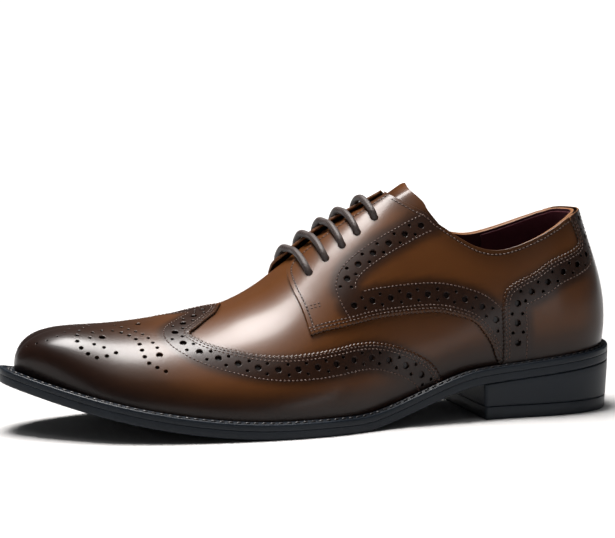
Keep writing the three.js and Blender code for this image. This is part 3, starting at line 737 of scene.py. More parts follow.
def wing_line(medial=False):
    """The wing's edge from the feather line forward and back up to the peak on the ridge."""
    low = side_line(WING_EDGE, medial)
    sign = -1 if medial else 1
    plan = smooth([(a * SOLE_LENGTH, (WING_PEAK_LEAN + sign * b) * BALL_WIDTH)
                   for a, b in WING_PEAK[1:]])
    peak = find(plan, [0, 1], medial)
    tip = find([(WING_PEAK[0][0] * SOLE_LENGTH, WING_PEAK_LEAN * BALL_WIDTH)], [0, 1], medial)
    tip[:, 1] = 1.0
    line = to_over(np.concatenate([low[::-1], peak[::-1], tip]))
    moved = np.abs(np.diff(line[:, 1])) + np.abs(np.diff(line[:, 0])) > 1e-4
    line = line[np.concatenate([[True], moved])]
    clean = spaced(line, 3.0, over)
    return spaced(smooth(np.concatenate([clean, line[-1:]]), 4), 1.0, over)


LINES = {}
for medial in (False, True):
    side = "medial" if medial else "lateral"
    LINES["wing_" + side] = wing_line(medial)
    LINES["facing_" + side] = facing_edge(medial)
    LINES["quarter_" + side] = spaced(side_line(QUARTER_EDGE, medial), 1.0)
    LINES["counter_" + side] = spaced(side_line(COUNTER_EDGE, medial), 1.0)
    stay = smooth(EYESTAY)
    LINES["eyestay_" + side] = spaced(turned_side(stay) if medial else stay, 1.0)


def behind_stay(line, more=0.0):
    """The part of a quarter's line that lies behind the eyestay's foot."""
    return line[section_of(line[:, 0]) < EYESTAY[-1][0] - more]


LINES["wing"] = np.concatenate([LINES["wing_lateral"], LINES["wing_medial"][::-1][1:]])


def seam_tree():
    """All band middles and edges as points, for the dark finish along seams."""
    rows = [at(over, parallel(LINES["wing"], WING_BAND[0], over))]
    for side, sign in (("lateral", 1), ("medial", -1)):
        rows.append(at(around, parallel(LINES["counter_" + side], -sign * COUNTER_BAND[0])))
        behind = behind_stay(LINES["quarter_" + side], 0.1)
        rows.append(at(around, parallel(behind, sign * QUARTER_BAND[0])))
        stay = LINES["eyestay_" + side]
        rows.append(at(around, parallel(stay[: int(len(stay) * 0.8)], sign * EYESTAY_BAND[0])))
    rows = np.concatenate(rows)
    tree = KDTree(len(rows))
    for i, p in enumerate(rows):
        tree.insert(Vector(p), i)
    tree.balance()
    return tree


SEAMS = seam_tree()


def burnish_and_painted_shade(points, u, shaded_through_holes=False):
    """How dark the leather is painted, 0 to 1: hand-rubbed burnish at toe, heel and seams, and
    darker low on the sides near the sole, partly burnish and partly painted shade.

    A skin shaded through holes gets painted shade, black where it only shows through the punched
    holes above it."""
    x = points[:, 0]
    foot = form(u, np.zeros_like(u))
    height = np.linalg.norm(points - foot, axis=1)
    seam = np.array([SEAMS.find(Vector(p))[2] for p in points])
    parts = [
        0.75 * ease(212, 266, x) + 0.23 * ease(250, 285, x),
        # Darker low on the sides: partly burnish, partly painted shade where the upper turns in
        # above the welt.
        0.90 * (1 - ease(2, 19, height)),
        0.80 * (1 - ease(3, 26, x)),
        0.84 * (1 - ease(3.8, 10.5, seam)),
        # Painted shade: black on the skin under the punched bands' holes and the toe ornament's
        # holes.
        shaded_through_holes * np.maximum(1 - ease(4, 5.5, seam), ease(232, 240, x) * ease(18, 24, height)),
        0.35 * (1 - ease(0, 14, np.abs(points[:, 2] - rolled(x)) + 1)) * (x < 125),
    ]
    light = np.ones(len(points))
    for part in parts:
        light *= 1 - part
    return 1 - light


def linear(code):
    """An sRGB hex colour as linear RGBA."""
    parts = [int(code[i:i + 2], 16) / 255 for i in (1, 3, 5)]
    return [p / 12.92 if p <= 0.04045 else ((p + 0.055) / 1.055) ** 2.4 for p in parts] + [1.0]


def colour_property(name, description, code):
    return FloatVectorProperty(name=name, description=description, default=linear(code)[:3],
                               size=3, min=0, max=1, subtype="COLOR")


def length_property(name, description, default):
    return FloatProperty(name=name, description=description, default=default, min=0.1, max=20)


class ShoeSettings(bpy.types.PropertyGroup):
    leather_brown: colour_property("Leather", "Hand-rubbed brown of the calf leather", "#4c2b10")
    # This dark colour also paints shade: inside punched holes, in stitched grooves and low on the
    # sides near the welt.
    leather_dark: colour_property("Burnish", "Dark wax at toe, heel and seams", "#170a06")
    edge_tan: colour_property("Cut edge", "Raw tan of the leather's cut edges", "#87562a")
    lining_red: colour_property("Lining", "Burgundy of the lining", "#482028")
    thread_brown: colour_property("Thread", "Brown of the sewing thread", "#503629")
    welt_thread: colour_property("Welt thread", "Dark grey of the thread in the welt", "#2e2b2b")
    lace_brown: colour_property("Lace", "Dark brown of the waxed lace", "#2e2421")
    sole_black: colour_property("Sole", "Blue-black of sole and heel", "#10151b")
    big_hole: length_property("Big hole", "Radius of the band's big holes in mm", 1.5)
    small_hole: length_property("Small hole", "Radius of the small holes in mm", 0.75)
    stitch_pitch: length_property("Stitch pitch", "Distance from stitch to stitch in mm", 2.0)
    lace_width: length_property("Lace", "Diameter of the round lace in mm", 3.5)


def rgba(colour):
    return (*colour, 1.0)


def add(tree, kind, inputs=None, **settings):
    """Adds one shader node with its settings, values and links."""
    made = tree.nodes.new("ShaderNode" + kind)
    for key, value in settings.items():
        setattr(made, key, value)
    for key, value in (inputs or {}).items():
        if isinstance(value, bpy.types.NodeSocket):
            tree.links.new(value, made.inputs[key])
        else:
            made.inputs[key].default_value = value
    return made


def blank_material(name):
    material = bpy.data.materials.new(name)
    material.use_nodes = True
    material.node_tree.nodes.clear()
    return material, material.node_tree


def output(tree, shader):
    add(tree, "OutputMaterial", {"Surface": shader.outputs[0]})


def noise(tree, size_mm, detail=3.0, roughness=0.5, warp=0.0):
    """Noise whose features are about size_mm across."""
    coordinate = add(tree, "TexCoord")
    return add(tree, "TexNoise", {"Vector": coordinate.outputs["Object"], "Scale": 1000 / size_mm,
                                  "Detail": detail, "Roughness": roughness, "Distortion": warp})


def calf_leather(settings):
    """Polished calf, hand-rubbed with dark wax: deep brown and glossy, with fine pores."""
    material, tree = blank_material("burnished_calf")
    # The attribute's darkening is partly real burnish and partly painted shade in holes, grooves
    # and near the welt.
    rub_and_shade = add(tree, "Attribute", attribute_name="burnish_and_painted_shade")
    cloud = noise(tree, 16, 4)
    fleck = noise(tree, 1.2, 2)
    shift = add(tree, "Math", {0: cloud.outputs["Fac"], 1: 0.16, 2: -0.08},
                operation="MULTIPLY_ADD")
    amount = add(tree, "Math", {0: rub_and_shade.outputs["Fac"], 1: shift.outputs[0]}, operation="ADD",
                 use_clamp=True)
    brown, dark = settings.leather_brown, settings.leather_dark
    middle = rgba([0.42 * a + 0.05 * b for a, b in zip(brown, dark)])
    ramp = add(tree, "ValToRGB", {0: amount.outputs[0]})
    ramp.color_ramp.elements[0].color = rgba(brown)
    ramp.color_ramp.elements[1].color = rgba(dark)
    ramp.color_ramp.elements.new(0.45).color = middle
    speck = add(tree, "Mix", {0: 0.12, 6: ramp.outputs[0], 7: fleck.outputs["Color"]},
                data_type="RGBA", blend_type="MULTIPLY")
    pores = noise(tree, 0.55, 2)
    swell = noise(tree, 24, 2)
    relief = add(tree, "Math", {0: swell.outputs["Fac"], 1: 9.0, 2: pores.outputs["Fac"]},
                 operation="MULTIPLY_ADD")
    bump = add(tree, "Bump", {"Strength": 0.35, "Distance": 0.00006, "Height": relief.outputs[0]})
    gloss = add(tree, "MapRange", {"Value": fleck.outputs["Fac"], "To Min": 0.28, "To Max": 0.38})
    shader = add(tree, "BsdfPrincipled", {
        "Base Color": speck.outputs[2], "Roughness": gloss.outputs[0], "IOR": 1.48,
        "Specular IOR Level": 0.22, "Coat Weight": 0.12, "Coat Roughness": 0.17,
        "Normal": bump.outputs[0]})
    output(tree, shader)
    return material


def raw_edge(settings):
    """Cut edge of tanned leather: matt tan, with fibres."""
    material, tree = blank_material("raw_tan_edge")
    fibre = noise(tree, 0.5, 4)
    mix = add(tree, "Mix", {0: fibre.outputs["Fac"], 6: rgba(settings.edge_tan),
                            7: rgba([c * 0.35 for c in settings.edge_tan])}, data_type="RGBA")
    bump = add(tree, "Bump", {"Strength": 0.3, "Distance": 0.0001, "Height": fibre.outputs["Fac"]})
    output(tree, add(tree, "BsdfPrincipled", {"Base Color": mix.outputs[2], "Roughness": 0.55,
                                              "Normal": bump.outputs[0]}))
    return material


def dark_edge(settings):
    """Cut edge stained with dark wax."""
    material, tree = blank_material("waxed_dark_edge")
    fibre = noise(tree, 0.6, 4)
    mix = add(tree, "Mix", {0: fibre.outputs["Fac"],
                            6: rgba([c * 0.30 for c in settings.leather_brown]),
                            7: rgba(settings.leather_dark)}, data_type="RGBA")
    output(tree, add(tree, "BsdfPrincipled", {"Base Color": mix.outputs[2], "Roughness": 0.42}))
    return material


def lining_leather(settings, name="burgundy_lining", roughness=0.6, lift=1.0):
    """Soft unpolished lining leather: matt burgundy with a short nap."""
    material, tree = blank_material(name)
    nap = noise(tree, 0.5, 4)
    cloud = noise(tree, 14, 3)
    red = settings.lining_red
    tint = add(tree, "Mix", {0: cloud.outputs["Fac"], 6: rgba([c * lift for c in red]),
                             7: rgba([c * 0.5 * lift for c in red])}, data_type="RGBA")
    bump = add(tree, "Bump", {"Strength": 0.5, "Distance": 0.0001, "Height": nap.outputs["Fac"]})
    output(tree, add(tree, "BsdfPrincipled", {
        "Base Color": tint.outputs[2], "Roughness": roughness, "Normal": bump.outputs[0],
        "Specular IOR Level": 0.2, "Sheen Weight": 0.04, "Sheen Roughness": 0.5,
        "Sheen Tint": (0.9, 0.6, 0.65, 1)}))
    return material


def sewing_thread(name, colour):
    """Twisted waxed polyester thread: a little gloss on each short stitch."""
    material, tree = blank_material(name)
    twist = noise(tree, 0.35, 2)
    mix = add(tree, "Mix", {0: twist.outputs["Fac"], 6: rgba(colour),
                            7: rgba([c * 0.45 for c in colour])}, data_type="RGBA")
    bump = add(tree, "Bump", {"Strength": 0.4, "Distance": 0.0001, "Height": twist.outputs["Fac"]})
    output(tree, add(tree, "BsdfPrincipled", {"Base Color": mix.outputs[2], "Roughness": 0.38,
                                              "Normal": bump.outputs[0]}))
    return material


def braided_lace(settings):
    """Round braided cotton, waxed: two sets of strands that cross every 1.6 mm."""
    material, tree = blank_material("waxed_cotton_braid")
    along = add(tree, "Attribute", attribute_name="braid_along")
    turn = add(tree, "Attribute", attribute_name="braid_turn")
    waves = []
    for hand in (1.0, -1.0):
        phase = add(tree, "Math", {0: turn.outputs["Fac"], 1: hand * 4.0, 2: along.outputs["Fac"]},
                    operation="MULTIPLY_ADD")
        waves.append(add(tree, "Math", {0: phase.outputs[0]}, operation="SINE"))
    braid = add(tree, "Math", {0: waves[0].outputs[0], 1: waves[1].outputs[0]}, operation="MAXIMUM")
    fuzz = noise(tree, 0.3, 2)
    height = add(tree, "Math", {0: fuzz.outputs["Fac"], 1: 0.6, 2: braid.outputs[0]},
                 operation="MULTIPLY_ADD")
    # Colour follows the braid's height: painted shade in the dips between strands, painted light on
    # their crowns, mixed with random fuzz.
    tone = add(tree, "MapRange", {"Value": height.outputs[0], "From Min": -1, "From Max": 1.6})
    mix = add(tree, "Mix", {0: tone.outputs[0], 6: rgba([c * 0.40 for c in settings.lace_brown]),
                            7: rgba([c * 1.45 for c in settings.lace_brown])}, data_type="RGBA")
    bump = add(tree, "Bump", {"Strength": 0.45, "Distance": 0.00016, "Height": height.outputs[0]})
    output(tree, add(tree, "BsdfPrincipled", {"Base Color": mix.outputs[2], "Roughness": 0.52,
                                              "Normal": bump.outputs[0]}))
    return material


def sole_rubber(settings, name="black_rubber", roughness=0.42, size_mm=0.9, strength=0.25):
    """Black rubber and inked leather edges: satin, with fine buffing marks."""
    material, tree = blank_material(name)
    grit = noise(tree, size_mm, 3)
    cloud = noise(tree, 22, 3)
    tone = add(tree, "Mix", {0: cloud.outputs["Fac"], 6: rgba(settings.sole_black),
                             7: rgba([c * 1.7 for c in settings.sole_black])}, data_type="RGBA")
    shine = add(tree, "MapRange", {"Value": cloud.outputs["Fac"], "To Min": roughness - 0.06,
                                   "To Max": roughness + 0.08})
    bump = add(tree, "Bump", {"Strength": strength, "Distance": 0.0001,
                              "Height": grit.outputs["Fac"]})
    output(tree, add(tree, "BsdfPrincipled", {
        "Base Color": tone.outputs[2], "IOR": 1.5, "Specular IOR Level": 0.2,
        "Roughness": shine.outputs[0], "Normal": bump.outputs[0]}))
    return material


def pale_floor():
    """Seamless white studio paper, lit from below away from the shoe, so it stays white."""
    material, tree = blank_material("studio_paper")
    grain = noise(tree, 3, 2)
    tone = add(tree, "MapRange", {"Value": grain.outputs["Fac"], "To Min": 0.44, "To Max": 0.46})
    spot = add(tree, "TexCoord")
    away = add(tree, "VectorMath", {0: spot.outputs["Object"]}, operation="LENGTH")
    glow = add(tree, "MapRange", {"Value": away.outputs["Value"], "From Min": 0.35, "From Max": 1.3,
                                  "To Min": 0.0, "To Max": 1.0}, interpolation_type="SMOOTHSTEP")
    output(tree, add(tree, "BsdfPrincipled", {
        "Base Color": tone.outputs[0], "Roughness": 0.9, "Specular IOR Level": 0.1,
        "Emission Color": (1, 1, 1, 1), "Emission Strength": glow.outputs[0]}))
    return material


MATERIALS = {}


def materials_of(settings):
    """The shoe's materials, made once."""
    if not MATERIALS:
        MATERIALS.update({
            "calf": calf_leather(settings),
            "edge": raw_edge(settings),
            "dark": dark_edge(settings),
            "lining": lining_leather(settings),
            "suede": lining_leather(settings, "burgundy_suede", 0.85, 1.7),
            "thread": sewing_thread("waxed_thread", settings.thread_brown),
            "welt_thread": sewing_thread("dark_welt_thread", settings.welt_thread),
            "lace": braided_lace(settings),
            "rubber": sole_rubber(settings),
            "welt": sole_rubber(settings, "inked_welt", 0.36, 1.4, 0.3),
            "breast": sole_rubber(settings, "rough_heel_breast", 0.6, 1.2, 0.9),
        })
    return MATERIALS


def band_holes(line, sign, band, place, settings, start=4.0):
    """Big holes along a band's middle, with a pair of small ones across between each two."""
    middle = parallel(line, sign * band, place)
    holes = [(tuple(c), settings.big_hole) for c in spaced(middle, BAND_PITCH, place, start)]
    for side in (-PAIR_SPREAD, PAIR_SPREAD):
        moved = sideways(middle, side, place)
        pair = spaced(middle, BAND_PITCH, place, start + BAND_PITCH / 2)
        nearest = np.linalg.norm((pair[:, None] - middle[None]) * DOMAIN_SCALE, axis=2).argmin(1)
        holes += [(tuple(c), settings.small_hole) for c in moved[nearest]]
    return holes


def eyelet_places(section, rise, medial_rise):
    return np.array([section, rise]), np.array([TURN - section - MEDIAL_SHIFT, medial_rise])


def wing_grooves():
    return [parallel(LINES["wing"], d, over) for d in (*WING_ROWS, WING_BAND[1])]


def quarter_grooves(side, sign):
    edge = LINES["quarter_" + side]
    stay = LINES["eyestay_" + side]
    facing = LINES["facing_" + side]
    rows = [parallel(edge, sign * d) for d in QUARTER_ROWS]
    band = parallel(edge, sign * QUARTER_BAND[1])
    rows.append(behind_stay(band, 0.28))
    rows.append(stay)
    inner = parallel(stay, sign * EYESTAY_BAND[1])
    rows.append(inner[: int(len(inner) * 0.80)])
    rows.append(parallel(facing, sign * FACING_ROW))
    return rows


def counter_grooves():
    rows = []
    for side, sign in (("lateral", 1), ("medial", -1)):
        line = LINES["counter_" + side]
        rows += [parallel(line, -sign * d) for d in (*COUNTER_ROWS, COUNTER_BAND[1])]
    return rows


def topline_groove():
    """The counter's stitched row under the topline."""
    u = np.linspace(-4.25, 4.25, 220)
    return np.stack([u, top_rise(u, TOPLINE_ROW)], -1)


def glue_ridge(where):
    """Both ends of a pattern round the foot meet at the back and along the ridge."""
    for u, rise in where:
        section = min(u % TURN, TURN - u % TURN)
        if rise > 1 - 1e-7:
            yield ("ridge", round(section, 5))
        elif u < 1e-7 or u > TURN - 1e-7:
            yield ("back", round(rise, 5))
        else:
            yield None


def glue_toe(where):
    for section, across in where:
        yield ("toe", round(abs(across), 5)) if section > LAST - 1e-7 else None


def build_upper(settings):
    """The vamp, its lining and the parts under the overlays, as one skin."""
    kit = materials_of(settings)
    back = np.linspace(0, 1, 46)
    start_rise = float(top_rise(np.array([0.0]))[0])
    sides = []
    for medial in (False, True):
        plan = throat_line(FACING_GAP_TOP / 2 + 1.5, FACING_GAP_FRONT / 2 + 1.0, medial)
        line = find(plan, [0, 1], medial)
        line = line[(line[:, 1] > 0.5) & (line[:, 1] <= top_rise(line[:, 0]))]
        own = np.minimum(line[:, 0], TURN - line[:, 0])
        sides.append(line[own < SLOT_SECTION - 0.12])
    first = sides[0][0]
    second = sides[1][0]
    top_lateral = np.linspace(0, first[0], 90)[:-1]
    top_medial = np.linspace(TURN, second[0], 90)[:-1]
    tip = np.linspace(SLOT_SECTION, LAST, 90)
    feather = np.linspace(0, TURN, 420)[1:-1]
    border = [
        (np.stack([np.zeros(45), back[:-1] * start_rise], -1), False),
        (np.stack([top_lateral, top_rise(top_lateral)], -1), True),
        (sides[0], True),
        (np.stack([tip, np.ones(90)], -1), False),
        (np.stack([TURN - tip[::-1][1:], np.ones(89)], -1), False),
        (sides[1][::-1], True),
        (np.stack([top_medial, top_rise(top_medial)], -1)[::-1], True),
        (np.stack([np.full(45, float(TURN)), (back[:-1] * start_rise)[::-1]], -1), False),
        (np.stack([feather[::-1], np.zeros(418)], -1), False),
    ]
    holes = []
    for eyelet in EYELETS:
        holes += [(tuple(p), SKIN_EYELET) for p in eyelet_places(*eyelet)]
    # The vamp skin gets painted shade where it shows through the overlays' holes.
    made = leather_sheet("upper_vamp_and_lining", around, border, UPPER_OUTER, UPPER_INNER,
                         [kit["calf"], kit["lining"], kit["edge"], kit["dark"]], holes,
                         glued=glue_ridge, shaded_through_holes=True)
    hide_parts("upper")


def build_wing_cap(settings):
    """The wing-tip toe cap with its gimped edge, punched band and toe ornament."""
    kit = materials_of(settings)
    edge = gimped(LINES["wing"], over, -1)
    edge[0, 1], edge[-1, 1] = 1.0, -1.0
    across = np.linspace(-1, 1, 61)
    low = np.linspace(edge[0, 0], LAST, 140)
    low_medial = np.linspace(edge[-1, 0], LAST, 140)
    border = [
        (edge, "waxed"),
        (np.stack([low_medial[1:-1], np.full(138, -1.0)], -1), False),
        (np.stack([np.full(61, float(LAST)), across], -1), False),
        (np.stack([low[::-1][1:-1], np.full(138, 1.0)], -1), False),
    ]
    holes = band_holes(LINES["wing"], 1, WING_BAND[0], over, settings)
    for control, count, size in MEDALLION:
        line = smooth(control, 10) if len(control) > 1 else np.array(control)
        if count > 1:
            gaps = np.linalg.norm(np.diff(at(over, line), axis=0), axis=1)
            run = np.concatenate([[0], np.cumsum(gaps)])
            stops = np.linspace(0, run[-1], count)
            line = np.stack([np.interp(stops, run, line[:, k]) for k in (0, 1)], -1)
        for places in (line, mirrored(line)):
            holes += [(tuple(p), ORNAMENT_RADII[size]) for p in places]
    made = leather_sheet("wing_cap_brogued", over, border, OVERLAY_OUTER, OVERLAY_INNER,
                         [kit["calf"], kit["dark"], kit["dark"], kit["dark"]],
                         clear_of_each_other(holes, over), wing_grooves(),
                         glued=glue_toe, teeth_clear=0.35)
    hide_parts("wing_cap")


def build_quarter(settings, medial):
    """One quarter with its facing, eyestay seam and punched bands."""
    kit = materials_of(settings)
    side, sign = ("medial", -1) if medial else ("lateral", 1)
    facing = LINES["facing_" + side]
    edge = gimped(LINES["quarter_" + side], around, -sign)
    tuck = sideways(LINES["counter_" + side], -sign * QUARTER_TUCK)
    tuck = tuck[np.isfinite(tuck).all(1)]
    limit = top_rise(tuck[:, 0])
    tuck = tuck[(tuck[:, 1] < limit) & (tuck[:, 1] > 0.0)]
    rear = TURN - tuck[-1, 0] if medial else tuck[-1, 0]
    front = TURN - facing[0, 0] if medial else facing[0, 0]
    tops = np.linspace(rear, front, 120)
    tops = TURN - tops if medial else tops
    first_low, last_low = edge[-1, 0], tuck[0, 0]
    low = np.linspace(first_low, last_low, 14)
    border = [
        (facing[:-1], "tan"),
        (edge, "waxed"),
        (np.stack([low, np.zeros(14)], -1), False),
        (tuck, False),
        (np.stack([tops, top_rise(tops)], -1), "tan"),
    ]
    stay = LINES["eyestay_" + side]
    holes = []
    for eyelet in EYELETS:
        holes.append((tuple(eyelet_places(*eyelet)[1 if medial else 0]), FACING_EYELET))
    low_band = behind_stay(LINES["quarter_" + side], -0.05)
    holes += band_holes(low_band, sign, QUARTER_BAND[0], around, settings, start=5.0)
    holes += band_holes(stay[: int(len(stay) * 0.84)], sign, EYESTAY_BAND[0], around, settings)
    made = leather_sheet("quarter_" + side + "_brogued", around, border,
                         OVERLAY_OUTER, OVERLAY_INNER,
                         [kit["calf"], kit["dark"], kit["edge"], kit["dark"]],
                         clear_of_each_other(holes),
                         quarter_grooves(side, sign) + [topline_part(sign)],
                         teeth_clear=0.3, wave=flap)
    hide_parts("quarter_" + side)


def topline_part(sign):
    """The stitched row under a quarter's top edge, up to the facing."""
    facing = LINES["facing_lateral" if sign > 0 else "facing_medial"]
    u = np.linspace(0.4, section_of(facing[0, 0]) - 0.08, 160)
    u = u if sign > 0 else TURN - u
    return np.stack([u, top_rise(u, TOPLINE_ROW)], -1)


def clear_of_each_other(holes, place=around):
    """Leaves out a hole that would run into one before it."""
    spots = at(place, np.array([h[0] for h in holes]))
    radii = np.array([h[1] for h in holes])
    kept = []
    for i, spot in enumerate(spots):
        away = np.linalg.norm(spots[kept] - spot, axis=1) - radii[kept] - radii[i]
        if (away > 0.5).all():
            kept.append(i)
    return [holes[i] for i in kept]


def build_counter(settings):
    """The heel counter that laps over both quarters."""
    kit = materials_of(settings)
    lines = []
    for side, sign in (("lateral", 1), ("medial", -1)):
        line = gimped(LINES["counter_" + side], around, sign)
        if sign < 0:
            line[:, 0] -= TURN
        line = line[line[:, 1] < top_rise(line[:, 0])]
        lines.append(line)
    lateral, medial = lines
    tops = np.linspace(lateral[-1, 0], medial[-1, 0], 60)
    low = np.linspace(medial[0, 0], lateral[0, 0], 70)
    border = [
        (lateral, "waxed"),
        (np.stack([tops, top_rise(tops)], -1), "tan"),
        (medial[::-1], "waxed"),
        (np.stack([low, np.zeros(70)], -1), False),
    ]
    holes = []
    for side, sign in (("lateral", 1), ("medial", -1)):
        found = band_holes(LINES["counter_" + side], -sign, COUNTER_BAND[0], around, settings,
                           start=9.0)
        holes += [((c[0] - (TURN if sign < 0 else 0), c[1]), r) for c, r in found]
    grooves = []
    for line in counter_grooves() + [topline_groove()]:
        line = line[np.isfinite(line).all(1)].copy()
        line[line[:, 0] > LAST, 0] -= TURN
        grooves.append(line)
    made = leather_sheet("heel_counter_brogued", around, border, COUNTER_OUTER, OVERLAY_OUTER - 0.1,
                         [kit["calf"], kit["dark"], kit["edge"], kit["dark"]],
                         clear_of_each_other(holes), grooves,
                         teeth_clear=0.35)
    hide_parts("counter")


def build_tongue(settings):
    """The tongue under the facings, with its raw top edge standing a little above them."""
    kit = materials_of(settings)
    count = 67
    across = np.linspace(-TONGUE_HALF, TONGUE_HALF, count)
    rounded = np.where(across < 0, -1, 1) * np.hypot(across, TONGUE_ROUNDING)
    crown = (TONGUE_RISE + TONGUE_CROWN) * (1 - (across / TONGUE_CROWN_HALF) ** 2)
    low, high = np.full(count, 3.2), np.full(count, 5.6)
    for _ in range(28):
        mid = (low + high) / 2
        p = form(*over(np.stack([mid, rounded], -1)))
        above = p[:, 2] > rolled(p[:, 0]) + crown
        low = np.where(above, mid, low)
        high = np.where(above, high, mid)
    top = np.stack([(low + high) / 2, across], -1)
    rows = 40
    outer = np.linspace(top[-1, 0], TONGUE_FRONT, rows)[1:]
    inner = np.linspace(TONGUE_FRONT, top[0, 0], rows)[:-1]
    border = [
        (top, True),
        (np.stack([outer, np.full(rows - 1, TONGUE_HALF)], -1), True),
        (np.stack([np.full(count, TONGUE_FRONT), across[::-1]], -1)[1:-1], True),
        (np.stack([inner, np.full(rows - 1, -TONGUE_HALF)], -1), True),
    ]

    def bulge(u, rise):
        near_ridge = 1 - ease(0.02, 0.13, 1 - rise)
        return TONGUE_SWELL * near_ridge * ease(4.6, 5.3, section_of(u))
    made = leather_sheet("tongue_soft", over, border, UPPER_INNER - GAP, UPPER_INNER - GAP - TONGUE,
                         [kit["calf"], kit["lining"], kit["edge"]], wave=bulge)
    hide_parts("tongue")


def tube(points, radius, sides, steps):
    """A round cord along a smooth line, with its length and turn for the braid."""
    line = smooth(points, steps)
    tangent = unit(np.gradient(line, axis=0))
    run = np.concatenate([[0], np.cumsum(np.linalg.norm(np.diff(line, axis=0), axis=1))])
    side = unit(np.cross(tangent[0], [0.0, 0.0, 1.0]))
    verts, along, turn = [], [], []
    for centre, t, s in zip(line, tangent, run):
        side = unit(side - t * np.dot(side, t))
        other = np.cross(t, side)
        for k in range(sides):
            angle = 2 * math.pi * k / sides
            verts.append(centre + (side * math.cos(angle) + other * math.sin(angle)) * radius)
            along.append(s)
            turn.append(math.sin(angle) * 0.5)
    faces = []
    for i in range(len(line) - 1):
        for k in range(sides):
            a, b = i * sides + k, i * sides + (k + 1) % sides
            faces.append((a, b, b + sides, a + sides))
    faces.append(tuple(range(sides))[::-1])
    faces.append(tuple(range((len(line) - 1) * sides, len(line) * sides)))
    return np.array(verts), faces, np.array(along), np.array(turn)


def build_laces(settings):
    """Five straight bars of one round lace, each dipping through its two eyelets."""
    kit = materials_of(settings)
    radius = settings.lace_width / 2
    clear = OVERLAY_OUTER + radius
    for number, eyelet in enumerate(EYELETS, 1):
        lateral, medial = eyelet_places(*eyelet)
        crown = eyelet[0] + CROWN_SHIFT

        def climb(end, top, share, offset):
            c = end + (np.array([top, 1.0]) - end) * share
            return surface(c[0], c[1], offset + flap(*c))
        near = [(0.0, -2.9), (0.0, -0.9), (0.03, 1.1), (0.16, clear + 0.1), (0.42, clear + 0.1),
                (0.72, clear + 0.1)]
        points = [climb(lateral, crown, s, o) for s, o in near]
        points.append(surface(crown, 1.0, clear + 0.5))
        points += [climb(medial, TURN - crown, s, o) for s, o in near[::-1]]
        verts, faces, along, turn = tube(points, radius, 20, 7)
        braid = {"braid_along": along * 2 * math.pi / 1.6, "braid_turn": turn * 2 * math.pi}
        made = new_object(f"lace_bar_{number}_braided", verts, faces, [kit["lace"]], values=braid)
        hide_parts(f"lace_bar_{number}")


def capsules(centres, along, normals, length, radius):
    """Short rounded threads, one per stitch."""
    sides = 6
    rings = [(-0.5, 0.0), (-0.42, 0.72), (-0.2, 1.0), (0.2, 1.0), (0.42, 0.72), (0.5, 0.0)]
    across = np.cross(normals, along)
    verts, faces = [], []
    for centre, t, n, s in zip(centres, along, normals, across):
        base = len(verts)
        for share, wide in rings[1:-1]:
            for k in range(sides):
                angle = 2 * math.pi * (k + 0.5) / sides
                round_it = (n * math.sin(angle) + s * math.cos(angle)) * radius * wide
                verts.append(centre + t * share * length + round_it
                             - n * radius * 0.9 * (abs(share) * 2) ** 3)
        first = len(verts)
        verts.append(centre - t * 0.5 * length - n * radius * 0.9)
        verts.append(centre + t * 0.5 * length - n * radius * 0.9)
        for i in range(3):
            for k in range(sides):
                a, b = base + i * sides + k, base + i * sides + (k + 1) % sides
                faces.append((a, b, b + sides, a + sides))
        for k in range(sides):
            a, b = base + k, base + (k + 1) % sides
            faces.append((b, a, first))
            faces.append((a + 3 * sides, b + 3 * sides, first + 1))
    return verts, faces


def stitch_line(line, place, offset, settings, limit=None):
    """One row of stitches along a line of the pattern."""
    line = line[np.isfinite(line).all(1)]
    c = spaced(line, settings.stitch_pitch, place, 0.8)
    if limit is not None:
        c = c[limit(c)]
    if len(c) < 2:
        return [], []
    lift = flap(*c.T) if place is around else 0.0
    p = at(place, c, offset + lift)
    n = normal(*place(c))
    along = unit(np.gradient(p, axis=0))
    along = unit(along - n * (along * n).sum(-1, keepdims=True))
    return capsules(p, along, n, STITCH_LENGTH, STITCH_RADIUS)


def build_stitching(settings):
    """All the rows of thread on the upper."""
    kit = materials_of(settings)

    def on_quarter(c):
        return (c[:, 1] < 1) & (c[:, 1] > 0.02)

    def on_counter(c):
        return (c[:, 1] < top_rise(c[:, 0]) - 0.01) & (c[:, 1] > 0.02)
    rows = [(line, over, OVERLAY_OUTER, None) for line in wing_grooves()]
    for side, sign in (("lateral", 1), ("medial", -1)):
        for line in quarter_grooves(side, sign) + [topline_part(sign)]:
            rows.append((line, around, OVERLAY_OUTER, on_quarter))
        for shift in (0.0, TACK_GAP):
            rows.append((tack_line(side, sign, shift), around, OVERLAY_OUTER + 0.1, None))
    rows += [(line, around, COUNTER_OUTER, on_counter) for line in counter_grooves()]
    verts, faces = [], []
    for line, place, offset, limit in rows:
        v, f = stitch_line(line, place, offset - STITCH_SINK, settings, limit)
        faces += [tuple(i + len(verts) for i in face) for face in f]
        verts += v
    made = new_object("upper_stitching", np.array(verts), faces, [kit["thread"]])


def tack_line(side, sign, shift):
    """The short double tack that holds the facing's front to the vamp."""
    facing = LINES["facing_" + side]
    index = int(np.abs(facing[:, 1] - TACK_RISE).argmin())
    start, end = (sideways(facing, sign * reach)[index] for reach in TACK_REACH)
    t = np.linspace(0, 1, 12)[:, None]
    return start + (end - start) * t + np.array([0.0, shift / DOMAIN_SCALE[1]])


def ring_sweep(name, profile, materials, count=360):
    """A closed ring that follows the sole's outline: profile gives inset and height per corner."""
    u = np.linspace(0, TURN, count, endpoint=False)
    rows = []
    for inset, share, height in profile:
        foot, _ = outline(u, inset, share)
        rows.append(np.concatenate([foot, (sole_height(foot[:, 0]) + height)[:, None]], -1))
    verts = np.concatenate(rows)
    size = len(profile)
    faces = []
    for j in range(size):
        k = (j + 1) % size
        for i in range(count):
            n = (i + 1) % count
            faces.append((j * count + i, j * count + n, k * count + n, k * count + i))
    return new_object(name, verts, faces, materials)


